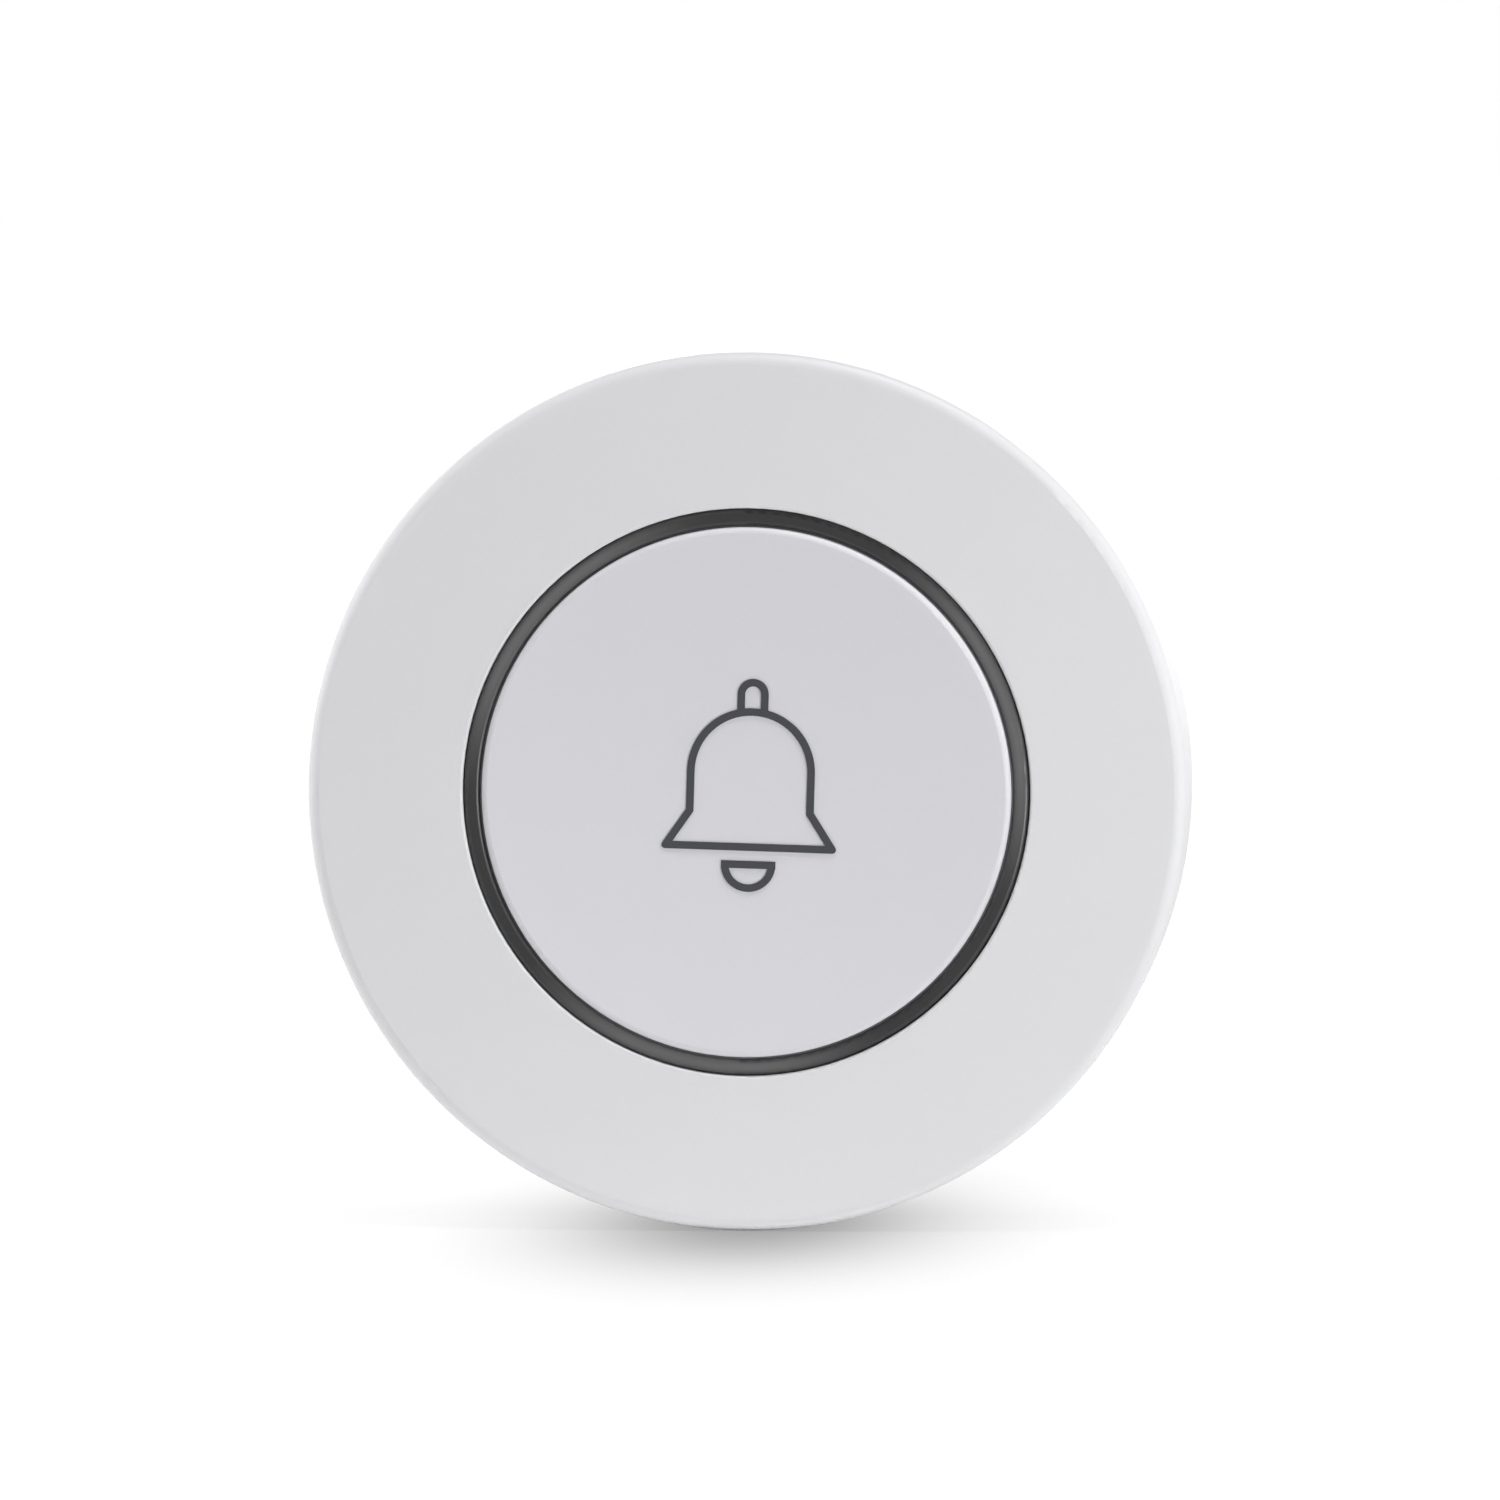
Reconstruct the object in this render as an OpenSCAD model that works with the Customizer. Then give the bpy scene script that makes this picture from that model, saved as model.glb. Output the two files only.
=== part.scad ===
// Round wireless doorbell button for a wall: a screwed-on wall plate, a housing that twists onto it
// and a large push button inside a smoked light ring. Millimetres.
// Pieces are drawn lying on their back, with the wall at height 0 and the front face on top.
// stand() then turns them upright: the front looks along -Y and the top of the bell points along +Z.

/* [Housing] */
// Outside diameter of the housing
body_d = 65; // [61:0.5:80]
// Room between the circuit board and the front face
front_room = 6; // [5.8:0.1:9]
// Thickness of the side wall
side_wall = 2.1; // [1.8:0.1:3]
// Thickness of the front face
face_t = 1.8; // [1.4:0.1:2.2]
// Radius of the rounded front edge
edge_r = 0.9; // [0.4:0.1:1.3]
// Radius of the rounded back edge
back_edge_r = 0.4; // [0.2:0.05:0.5]
// Radius of the softened lip of the front opening
lip_r = 0.2; // [0.1:0.05:0.4]
// Gap between the housing's back edge and the wall
wall_gap = 0.6; // [0.3:0.1:1]
// Side wall left around the pocket of the rear cover
pocket_wall = 1.2; // [1.1:0.1:1.5]
// Radius of the screw bosses
boss_r = 2.2; // [1.8:0.1:2.4]
// Thickness of the ribs that tie the cover bosses to the side wall
rib_t = 1.2; // [0.8:0.1:2]
// Free distance between the cover bosses and the side wall
boss_wall_gap = 0.6; // [0.4:0.1:1]

/* [Push button] */
// Diameter of the push button
button_d = 39.2; // [34:0.2:42]
// Thickness of the push button's face
button_t = 1.8; // [1.4:0.1:2.2]
// Height of the button's rim above the front face
button_proud = 0.2; // [0.1:0.05:0.6]
// Depth of the shallow hollow in the button's face
button_dish = 0.75; // [0.1:0.05:0.9]
// Radius of the button's rounded rim
button_edge_r = 0.45; // [0.2:0.05:0.8]
// Thickness of the skirt below the button's rim
button_skirt_t = 1.4; // [1:0.1:1.8]
// How far the button can be pressed
button_travel = 0.8; // [0.4:0.1:1]
// Running gap between the button and the light ring
button_gap = 0.12; // [0.1:0.02:0.4]
// Width of each snap hook
hook_w = 5; // [4:0.5:7]
// How far a snap hook reaches under the light ring
hook_reach = 0.6; // [0.4:0.1:0.9]
// Height of a snap hook's head
hook_t = 1; // [0.7:0.1:1.2]
// Thickness of the stiffening ribs under the button
button_rib_t = 0.8; // [0.6:0.1:1.2]
// Height of the stiffening ribs under the button
button_rib_h = 0.9; // [0.5:0.1:1]

/* [Light ring] */
// Visible width of the light ring
ring_w = 1.2; // [0.8:0.05:1.6]
// Radial gap between the light ring and the front opening
ring_fit = 0.08; // [0.05:0.01:0.2]
// How far the light ring lies below the front face
ring_sink = 0.25; // [0.1:0.05:0.5]
// Radius of the light ring's rounded top edges
ring_edge_r = 0.35; // [0.1:0.05:0.4]
// Width of the flange behind the front face
ring_flange_w = 1.5; // [1:0.1:2]
// Thickness of the flange behind the front face
ring_flange_t = 1.2; // [0.8:0.1:1.4]
// Width of each light pipe leg
ring_leg_w = 4; // [3:0.5:5]

/* [Bell symbol] */
// Width of the printed line
print_line = 0.56; // [0.4:0.02:0.8]
// Thickness of the printed ink
print_t = 0.08; // [0.05:0.01:0.2]
// Radius of the bell's dome
bell_dome_r = 4.45; // [3:0.05:5]
// Height of the bell's straight sides
bell_side_h = 2.95; // [2:0.05:4]
// Height of the bell's flared skirt
bell_flare_h = 2.6; // [2:0.05:3.5]
// Half the width of the bell's base line
bell_base_half = 6.18; // [5.5:0.02:7.5]
// Radius of the loop on top of the bell
bell_loop_r = 0.87; // [0.7:0.01:1.2]
// Height of the loop's arch centre above the dome
bell_loop_h = 1.3; // [1:0.05:2]
// Radius of the clapper
bell_clapper_r = 1.735; // [1.2:0.005:2.2]
// Distance of the clapper below the base line
bell_clapper_drop = 1.3; // [1.1:0.05:2]
// Sideways place of the symbol on the button
bell_shift_x = 0.3; // [-1:0.05:1]
// Height of the symbol's base line on the button
bell_shift_y = -4.05; // [-5:0.05:-3]

/* [Wall plate] */
// Thickness of the wall plate
plate_t = 2; // [1.6:0.1:3]
// Bevel around the back of the wall plate
plate_edge = 0.4; // [0.2:0.1:0.8]
// Gap between the wall plate's edge and the housing
plate_edge_gap = 0.7; // [0.5:0.1:1.5]
// Distance between the two wall screw holes
wall_hole_pitch = 40; // [36:1:44]
// Diameter of the wall screw holes
wall_hole_d = 3.8; // [3:0.1:4.5]
// Diameter of the wall screws' countersunk heads
wall_head_d = 7.4; // [6:0.1:8]
// Straight length of the wall screw holes
wall_hole_h = 0.8; // [0.5:0.1:1.2]
// Angle that the housing turns to come off the plate
twist_angle = 15; // [12:1:18]
// Angle that each bayonet lug takes up
lug_span_angle = 10; // [8:1:11]
// Radius of the bayonet lugs' inner face
lug_r = 21.6; // [20:0.2:22]
// Thickness of a lug's stem
lug_stem = 1.6; // [1.2:0.1:2]
// How far a lug's lip reaches outwards
lug_lip = 1.3; // [1:0.1:1.6]
// Thickness of a lug's lip
lug_lip_t = 0.9; // [0.7:0.1:1]
// Height of the arrow that shows which way is up
arrow_h = 5; // [3:0.5:6]
// Depth of the arrow that shows which way is up
arrow_depth = 0.3; // [0.2:0.1:0.5]
// Radius of the solid middle of the wall plate's back
plate_hub_r = 5; // [4:0.5:6]
// Depth of the moulded hollows in the wall plate's back
hollow_depth = 0.6; // [0.3:0.1:0.7]
// Width of the ribs between those hollows
hollow_rib = 1.4; // [1:0.1:2]

/* [Rear cover] */
// Thickness of the rear cover
cover_t = 1.8; // [1.5:0.1:2.4]
// Gap between the wall plate and the rear cover
cover_gap = 0.4; // [0.3:0.1:0.8]
// Radial fit of the rear cover in its pocket
cover_fit = 0.2; // [0.1:0.05:0.3]
// Thickness of the rear cover's gasket
gasket_t = 0.5; // [0.3:0.1:0.8]
// Diameter of the cover screws
cover_screw_d = 2; // [1.6:0.1:2.2]
// Head diameter of the cover screws
cover_head_d = 3.8; // [3.4:0.1:4.2]
// Length of the cover screws
cover_screw_l = 7; // [6:0.5:8]
// Length of the driver slots in the screw heads
recess_l = 2; // [1.6:0.1:2.3]
// Width of the driver slots in the screw heads
recess_w = 0.5; // [0.4:0.05:0.7]
// Depth of the driver slots in the screw heads
recess_depth = 0.5; // [0.3:0.05:0.6]

/* [Battery] */
// Diameter of the coin cell
cell_d = 20; // [16:0.1:24.5]
// Thickness of the coin cell
cell_t = 3.2; // [2.5:0.1:4]
// Height of the coin cell's raised lid
cell_lid_t = 0.5; // [0.3:0.05:0.6]
// Width of the coin cell's shoulder around the lid
cell_shoulder = 1.2; // [0.8:0.1:1.6]
// Depth of the coin cell below the back of the rear cover
cell_recess = 0.5; // [0.4:0.1:0.8]
// Radial room around the coin cell
cell_fit = 0.3; // [0.2:0.05:0.5]
// Thickness of the wall around the coin cell
well_wall = 1.5; // [1:0.1:2]
// Room between the coin cell and the circuit board
contact_room = 0.8; // [0.6:0.1:1.2]
// Thickness of the contact metal
contact_t = 0.25; // [0.15:0.05:0.3]
// Width of the contact strips
contact_w = 4; // [3:0.5:5]
// How far the side contact's foot reaches past the coin cell's wall
contact_foot = 2; // [1.5:0.1:3]
// Length of the base contact's plate
contact_plate_l = 9; // [8:0.1:10]
// Radius of the base contact's dimples
dimple_r = 0.9; // [0.6:0.1:1.2]
// Length of the tabs that keep the coin cell in
tab_l = 3; // [2:0.1:4]
// How far the tabs reach over the coin cell
tab_reach = 0.5; // [0.3:0.05:0.8]

/* [Circuit board] */
// Thickness of the circuit board
board_t = 1.2; // [0.8:0.1:1.6]
// Gap between the board's edge and the side wall
board_edge_gap = 2.2; // [1.8:0.1:2.4]
// Diameter of the board screws
board_screw_d = 2; // [1.6:0.1:2.2]
// Head diameter of the board screws
board_head_d = 3.6; // [3.2:0.1:4]
// Head height of the board screws
board_head_h = 1.2; // [0.9:0.1:1.3]
// Length of the board screws below the head
board_screw_l = 4.6; // [4:0.2:5]

/* [Spring frame] */
// Thickness of the spring frame
frame_t = 0.9; // [0.7:0.1:1.2]
// Gap between the spring frame and the circuit board
frame_lift = 0.4; // [0.3:0.1:0.6]
// Width of the spring frame's arms
frame_arm_w = 4.4; // [3.5:0.1:5]
// Height of the eyelets at the ends of the arms
eyelet_h = 1.8; // [1.7:0.1:2.1]
// Distance of the return springs from the middle
spring_place_r = 12; // [10:0.5:13]
// Outside diameter of a return spring
spring_d = 4.2; // [3.6:0.1:5]
// Wire diameter of a return spring
spring_wire = 0.35; // [0.25:0.05:0.4]
// Turns of a return spring
spring_turns = 3; // [2:0.5:3]
// Height of the pins that locate the springs
spring_pin_h = 0.7; // [0.4:0.1:0.8]

/* [Switch] */
// Width of the push switch
switch_w = 6.2; // [5:0.1:7]
// Height of the push switch without its plunger
switch_h = 2.9; // [2.5:0.1:3]
// Thickness of the switch's metal cover
switch_cover_t = 0.25; // [0.15:0.05:0.4]
// Diameter of the switch's plunger
plunger_d = 3.4; // [2.6:0.1:3.8]
// Thickness of the plunger's collar
plunger_collar_t = 0.5; // [0.4:0.1:0.6]
// Thickness of the switch's floor
switch_floor = 0.6; // [0.4:0.1:0.7]
// Length of a soldered foot
foot_l = 1.2; // [0.8:0.1:1.6]
// Width of a soldered foot
foot_w = 0.9; // [0.6:0.1:1.2]
// Thickness of a soldered foot
foot_t = 0.3; // [0.2:0.05:0.4]

/* [Electronics] */
// Width of a light ring LED
led_w = 2.8; // [2:0.1:3.5]
// Height of a light ring LED
led_h = 0.8; // [0.5:0.1:1]
// Length of the radio chip
chip_l = 4.9; // [4:0.1:6]
// Width of the radio chip
chip_w = 3.9; // [3:0.1:4.4]
// Height of the radio chip
chip_h = 1.4; // [1:0.1:1.5]
// Gap between the radio chip and the board
chip_lift = 0.15; // [0.1:0.05:0.2]
// Width of a chip leg
leg_w = 0.4; // [0.3:0.05:0.5]
// Thickness of a chip leg
leg_t = 0.2; // [0.1:0.05:0.25]
// How far the chip legs reach out
leg_reach = 1; // [0.8:0.1:1.2]
// Length of the frequency crystal
crystal_l = 3.2; // [2.5:0.1:4]
// Width of the frequency crystal
crystal_w = 2.4; // [2:0.1:3]
// Height of the frequency crystal
crystal_h = 0.75; // [0.5:0.05:0.9]
// Outside diameter of the coiled antenna
antenna_d = 3; // [2.4:0.1:3.2]
// Wire diameter of the coiled antenna
antenna_wire = 0.6; // [0.4:0.05:0.7]
// Turns of the coiled antenna
antenna_turns = 11; // [8:1:11]
// Length of the coiled antenna
antenna_l = 12.5; // [12.2:0.1:14]
// Length of a chip resistor or capacitor
chip_part_l = 2; // [1.6:0.1:2.2]
// Width of a chip resistor or capacitor
chip_part_w = 1.25; // [0.8:0.05:1.4]
// Height of a chip resistor
resistor_h = 0.5; // [0.35:0.05:0.6]
// Height of a chip capacitor
capacitor_h = 0.8; // [0.6:0.05:0.9]

/* [Hidden] */
$fn = 96;

// Clearances and small overlaps used everywhere
cut = 0.5;            // how far a cutting tool runs past the surface that it opens
merge = 0.3;          // how far joined shapes of one moulding run into each other
screw_fit = 0.05;     // radial room around a screw's shank
touch_gap = 0.05;     // room between faces that rest on each other across a joint
side_room = 0.4;      // free room beside a piece that turns or slides
part_room = 0.3;      // free room between neighbouring pieces
hook_inset = 0.1;     // keeps a hook's faces inside those of the skirt that it hangs from
print_lift = 0.01;    // keeps the back of the ink off the button's face

// Angles round the axis, seen from the front, anticlockwise from the right
step_angle = 360 / 3;
led_angle = 20;
board_screw_angle = led_angle + step_angle / 4;
hook_angle = led_angle + step_angle / 2;
cover_screw_angle = led_angle + step_angle * 3 / 4;
lug_angle = 90;
contact_angle = 0;
chip_angle = 230;
crystal_angle = 206;
antenna_angle = 325;
resistor_angles = [64, 73, 82, 91, 184, 193];
capacitor_angles = [100, 110, 120, 129];

// Extra angles beside the lugs: in the moulding windows, in the slots and where the slots are wide
window_room_angle = 1;
slot_room_angle = 1.2;
wide_room_angle = 0.8;

// Heights from the wall to the front face
z_cover_back = plate_t + cover_gap;
z_cover_front = z_cover_back + cover_t;
z_ledge = z_cover_front + gasket_t;
z_cell_back = z_cover_back + cell_recess;
z_cell_front = z_cell_back + cell_t;
z_board_back = z_cell_front + contact_room;
z_board_front = z_board_back + board_t;
z_frame_back = z_board_front + frame_lift;
z_frame_front = z_frame_back + frame_t;
z_boss = z_board_front + eyelet_h;
z_face = z_board_front + front_room;
z_face_back = z_face - face_t;
z_ring_back = z_face_back - ring_flange_t;
z_ring_front = z_face - ring_sink;
z_rim = z_face + button_proud;
z_button_back = z_rim - button_t;
z_hook_front = z_ring_back - touch_gap;
z_hook_back = z_hook_front - hook_t;
z_switch_front = z_board_front + switch_h;
z_plunger_front = z_switch_front + button_travel + touch_gap;
z_collar_front = z_switch_front - switch_cover_t - touch_gap;
z_collar_back = z_collar_front - plunger_collar_t;
z_dome_back = z_board_front + switch_floor;
z_lip_back = z_cover_front + side_room / 2;
z_lip_front = z_lip_back + lug_lip_t;
z_led_front = z_board_front + led_h;

// Radii from the middle outwards
body_r = body_d / 2;
inner_r = body_r - side_wall;
pocket_r = body_r - pocket_wall;
cover_r = pocket_r - cover_fit;
plate_r = pocket_r - plate_edge_gap;
button_r = button_d / 2;
ring_in_r = button_r + button_gap;
ring_out_r = ring_in_r + ring_w;
opening_r = ring_out_r + ring_fit;
flange_r = ring_out_r + ring_flange_w;
skirt_r = button_r - button_skirt_t;
hook_r = ring_in_r + hook_reach;
board_r = inner_r - board_edge_gap;
board_boss_place_r = flange_r + part_room + boss_r;
cover_boss_place_r = inner_r - boss_wall_gap - boss_r;
notch_r = boss_r + side_room;
cell_r = cell_d / 2;
well_r = cell_r + cell_fit;
led_place_r = (ring_in_r + flange_r) / 2;
lug_stem_r = lug_r + lug_stem;
lug_lip_r = lug_stem_r + lug_lip;
frame_r = skirt_r - side_room * 3;
chip_place_r = (well_r + well_wall + lug_r) / 2;
antenna_place_r = flange_r + part_room + antenna_d / 2;
plunger_r = plunger_d / 2;
collar_r = plunger_r + side_room;
cavity_r = collar_r + side_room / 2;
spring_pin_r = spring_d / 2 - spring_wire - part_room;
spring_l = z_button_back - z_frame_front - 2 * touch_gap;

// The button's hollow is a piece of a large sphere through its rim
dish_rim_r = button_r - button_edge_r;
dish_r = (dish_rim_r * dish_rim_r + button_dish * button_dish) / (2 * button_dish);
dish_z = z_rim - button_dish + dish_r;
function dish_height(r) = dish_z - sqrt(dish_r * dish_r - r * r);

// Turns a piece upright: its front looks along -Y and its top along +Z
module stand() rotate([90, 0, 0]) children();

// Repeats a shape at three angles round the axis
module thrice(angle) for (i = [0:2]) rotate([0, 0, angle + step_angle * i]) children();

// Moves a shape to an angle, a distance from the axis and a height
module at(angle, r, z) rotate([0, 0, angle]) translate([r, 0, z]) children();

// Washer between two radii and two heights
module washer(r_in, r_out, z0, z1) {
  translate([0, 0, z0]) difference() {
    cylinder(r = r_out, h = z1 - z0);
    translate([0, 0, -cut]) cylinder(r = r_in, h = z1 - z0 + 2 * cut);
  }
}

// Curved bar between two radii and two heights, spread evenly about angle 0
module arc_bar(r_in, r_out, z0, z1, angle) {
  rotate([0, 0, -angle / 2])
    rotate_extrude(angle = angle)
      translate([r_in, z0]) square([r_out - r_in, z1 - z0]);
}

// Block standing on a height, centred on the axis that it stands on
module block(l, w, h) translate([-l / 2, -w / 2, 0]) cube([l, w, h]);

// One coil of wire along +X, swept by six-sided rings
rings_per_turn = 10;
wire_sides = 6;
function coil_point(i, n, turns, r, l) =
  let (a = 360 * turns * i / n) [l * i / n, r * cos(a), r * sin(a)];
function coil_points(turns, r, l) =
  let (n = round(turns * rings_per_turn)) [for (i = [0:n]) coil_point(i, n, turns, r, l)];
function least_gap(points, wire) =
  let (turn = rings_per_turn)
    min([for (i = [0:len(points) - 1 - turn]) norm(points[i] - points[i + turn])]) - wire;

module coil(d, wire, turns, l) {
  r = (d - wire) / 2;
  n = round(turns * rings_per_turn);
  slope = atan2(l - wire, 360 * turns * PI / 180 * r);
  points = [for (i = [0:n], k = [0:wire_sides - 1])
    let (a = 360 * turns * i / n, b = 360 * k / wire_sides)
      [wire / 2 + (l - wire) * i / n + wire / 2 * sin(b) * cos(slope),
       (r + wire / 2 * cos(b)) * cos(a) + wire / 2 * sin(b) * sin(slope) * sin(a),
       (r + wire / 2 * cos(b)) * sin(a) - wire / 2 * sin(b) * sin(slope) * cos(a)]];
  walls = [for (i = [0:n - 1], k = [0:wire_sides - 1])
    let (a = i * wire_sides + k, b = i * wire_sides + (k + 1) % wire_sides)
      each [[a, b, a + wire_sides], [b, b + wire_sides, a + wire_sides]]];
  first = [for (k = [1:wire_sides - 2]) [0, k + 1, k]];
  end = n * wire_sides;
  last = [for (k = [1:wire_sides - 2]) [end, end + k, end + k + 1]];
  polyhedron(points, concat(walls, first, last));
}

// Wall plate: a disc with two countersunk screw holes and three bayonet lugs with moulding windows
module wall_plate() color("whitesmoke") stand() {
  difference() {
    union() {
      cylinder(r1 = plate_r - plate_edge, r2 = plate_r, h = plate_edge);
      translate([0, 0, plate_edge]) cylinder(r = plate_r, h = plate_t - plate_edge);
      thrice(lug_angle) arc_bar(lug_r, lug_stem_r, plate_t - merge, z_lip_front, lug_span_angle);
      thrice(lug_angle)
        arc_bar(lug_stem_r - merge, lug_lip_r, z_lip_back, z_lip_front, lug_span_angle);
    }
    thrice(lug_angle)
      arc_bar(lug_stem_r + 2 * touch_gap, lug_lip_r + side_room, -cut, plate_t + cut,
        lug_span_angle + 2 * window_room_angle);
    for (side = [-1, 1]) translate([side * wall_hole_pitch / 2, 0, 0]) {
      translate([0, 0, -cut]) cylinder(d = wall_hole_d, h = plate_t + 2 * cut);
      translate([0, 0, wall_hole_h])
        cylinder(d1 = wall_hole_d, d2 = wall_head_d, h = plate_t - wall_hole_h);
    }
    up_arrow();
    plate_hollows();
  }
}

// Shallow arrow in the back of the wall plate that shows which way is up
module up_arrow() {
  translate([0, plate_r / 2, -cut]) linear_extrude(cut + arrow_depth)
    polygon([[-arrow_h / 2, 0], [arrow_h / 2, 0], [0, arrow_h]]);
}

// Shallow hollows in three rows that leave ribs, a rim and solid ground around the screw holes
module plate_hollows() {
  sector = step_angle / 2;
  middle_r = plate_r / 2;
  for (half = [0, sector]) thrice(half) {
    plate_hollow(plate_hub_r, middle_r - hollow_rib, sector);
    plate_hollow(lug_lip_r + side_room + hollow_rib, plate_r - plate_edge - hollow_rib, sector);
  }
  for (quarter = [45:90:315]) rotate([0, 0, quarter])
    plate_hollow(middle_r, lug_r - hollow_rib, sector);
}

// One hollow between two radii, half a rib short of its sector at each end
module plate_hollow(r_in, r_out, sector) {
  rib_angle = hollow_rib / (r_in + r_out) * 2 * 180 / PI;
  arc_bar(r_in, r_out, -cut, hollow_depth, sector - rib_angle);
}

// Rear cover: closes the housing, takes the lugs in three slots and holds the coin cell in a well
module rear_cover() color("gainsboro") stand() {
  z_well_front = z_board_back - contact_t - side_room / 2;
  difference() {
    union() {
      translate([0, 0, z_cover_back]) cylinder(r = cover_r, h = cover_t);
      translate([0, 0, z_cover_front - merge])
        cylinder(r = well_r + well_wall, h = z_well_front - z_cover_front + merge);
    }
    translate([0, 0, z_cell_back - touch_gap]) cylinder(r = well_r, h = z_board_back);
    difference() {
      translate([0, 0, z_cover_back - cut]) cylinder(r = well_r, h = cut + cell_recess);
      thrice(contact_angle + step_angle / 2) at(0, well_r, z_cover_back - 2 * cut)
        block(2 * (cell_fit + tab_reach), tab_l, 4 * cut);
    }
    thrice(lug_angle) lug_slot();
    thrice(cover_screw_angle) at(0, cover_boss_place_r, z_cover_back) {
      translate([0, 0, -cut]) cylinder(d = cover_screw_d + 2 * screw_fit, h = cover_t + 2 * cut);
      countersink(cover_head_d + 2 * screw_fit, cover_screw_d + 2 * screw_fit);
    }
    at(contact_angle, well_r, z_cell_back + cell_recess)
      block(2 * well_wall + cell_fit, contact_w + 2 * side_room, z_board_back);
  }
}

// Slot for a lug: narrow where the lug locks, wide where it comes out
module lug_slot() {
  z0 = z_cover_back - cut;
  z1 = z_cover_front + cut;
  slot_angle = lug_span_angle + twist_angle + 2 * slot_room_angle;
  wide_angle = lug_span_angle + 2 * wide_room_angle;
  rotate([0, 0, -twist_angle / 2])
    arc_bar(lug_r - side_room, lug_stem_r + side_room, z0, z1, slot_angle);
  rotate([0, 0, -twist_angle])
    arc_bar(lug_stem_r, lug_lip_r + side_room, z0, z1, wide_angle);
}

// Seat of a countersunk screw, wide at height 0 and closing at half its head's spread
module countersink(head_d, screw_d) {
  cylinder(d1 = head_d, d2 = screw_d, h = (head_d - screw_d) / 2);
}

// Flat silicone ring between the rear cover and the ledge in the side wall
module cover_gasket() color("dimgray") stand()
  washer(inner_r + touch_gap, pocket_r - touch_gap, z_cover_front, z_ledge);

// Countersunk screws that hold the rear cover to the front shell
module cover_screws() color("silver") stand()
  thrice(cover_screw_angle) at(0, cover_boss_place_r, z_cover_back) difference() {
    union() {
      countersink(cover_head_d, cover_screw_d);
      cylinder(d = cover_screw_d, h = cover_screw_l);
    }
    cross_recess();
  }

// Cross-shaped driver recess in a screw head that faces the wall
module cross_recess() {
  for (turn = [0, 90]) rotate([0, 0, turn])
    translate([0, 0, -cut]) block(recess_l, recess_w, cut + recess_depth);
}

// Front shell: side wall and front face in one moulding, with two sets of screw bosses
module front_shell() color("gainsboro") stand() difference() {
  union() {
    rotate_extrude() shell_profile();
    thrice(cover_screw_angle) {
      at(0, cover_boss_place_r, z_cover_front)
        cylinder(r = boss_r, h = z_face_back + merge - z_cover_front);
      translate([cover_boss_place_r, -rib_t / 2, z_ledge + part_room])
        cube([inner_r + merge - cover_boss_place_r, rib_t, z_face_back + merge - z_ledge - part_room]);
    }
    thrice(board_screw_angle)
      at(0, board_boss_place_r, z_boss) cylinder(r = boss_r, h = z_face_back + merge - z_boss);
  }
  thrice(cover_screw_angle) at(0, cover_boss_place_r, z_cover_front - cut)
    cylinder(d = cover_screw_d + 2 * screw_fit, h = cut + cover_screw_l + part_room - cover_t);
  thrice(board_screw_angle) at(0, board_boss_place_r, z_boss - cut)
    cylinder(d = board_screw_d + 2 * screw_fit, h = cut + board_screw_l + part_room - board_t - eyelet_h);
}

// Half section of the front shell, with the axis on the left
module shell_profile() {
  difference() {
    union() {
      translate([inner_r, wall_gap + back_edge_r])
        square([side_wall, z_face - edge_r - wall_gap - back_edge_r]);
      translate([inner_r, wall_gap]) square([side_wall - back_edge_r, z_face_back - wall_gap]);
      translate([body_r - back_edge_r, wall_gap + back_edge_r]) circle(r = back_edge_r);
      translate([opening_r, z_face_back]) square([body_r - edge_r - opening_r, face_t - lip_r]);
      translate([opening_r + lip_r, z_face_back])
        square([body_r - edge_r - opening_r - lip_r, face_t]);
      translate([opening_r + lip_r, z_face - lip_r]) circle(r = lip_r);
      translate([body_r - edge_r, z_face - edge_r]) circle(r = edge_r);
    }
    translate([inner_r - cut, wall_gap - cut]) square([pocket_r - inner_r + cut, z_ledge - wall_gap + cut]);
  }
}

// Light ring: smoked diffuser in the front opening, with a flange and three light pipe legs
module light_ring() color("dimgray") stand() {
  rotate_extrude() {
    translate([ring_in_r, z_ring_back]) square([ring_w, z_ring_front - ring_edge_r - z_ring_back]);
    translate([ring_in_r + ring_edge_r, z_ring_back])
      square([ring_w - 2 * ring_edge_r, z_ring_front - z_ring_back]);
    for (r = [ring_in_r + ring_edge_r, ring_out_r - ring_edge_r])
      translate([r, z_ring_front - ring_edge_r]) circle(r = ring_edge_r);
    translate([ring_in_r, z_ring_back]) square([ring_w + ring_flange_w, ring_flange_t]);
  }
  thrice(led_angle) at(0, led_place_r, z_led_front + part_room)
    block(ring_w, ring_leg_w, z_ring_back + merge - z_led_front - part_room);
}

// Push button: a dished disc with a skirt, three snap hooks, a middle boss and stiffening ribs
module button_cap() color("gainsboro") stand() {
  skirt_back = z_ring_back + part_room;
  rib_in_r = switch_w;
  rotate_extrude() difference() {
    union() {
      translate([0, z_button_back]) square([button_r, button_t - button_edge_r]);
      translate([0, z_button_back]) square([button_r - button_edge_r, button_t]);
      translate([button_r - button_edge_r, z_rim - button_edge_r]) circle(r = button_edge_r);
      translate([skirt_r, skirt_back]) square([button_skirt_t, z_button_back + merge - skirt_back]);
    }
    dish_section();
  }
  translate([0, 0, z_plunger_front + touch_gap])
    cylinder(r = collar_r, h = z_button_back + merge - z_plunger_front - touch_gap);
  thrice(board_screw_angle) at(0, spring_place_r, z_button_back - spring_pin_h)
    cylinder(r = spring_pin_r, h = spring_pin_h + merge);
  for (half = [0, step_angle / 2]) thrice(led_angle + half)
    translate([rib_in_r, -button_rib_t / 2, z_button_back - button_rib_h])
      cube([skirt_r + merge - rib_in_r, button_rib_t, button_rib_h + merge]);
  thrice(hook_angle) snap_hook(skirt_back);
}

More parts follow.
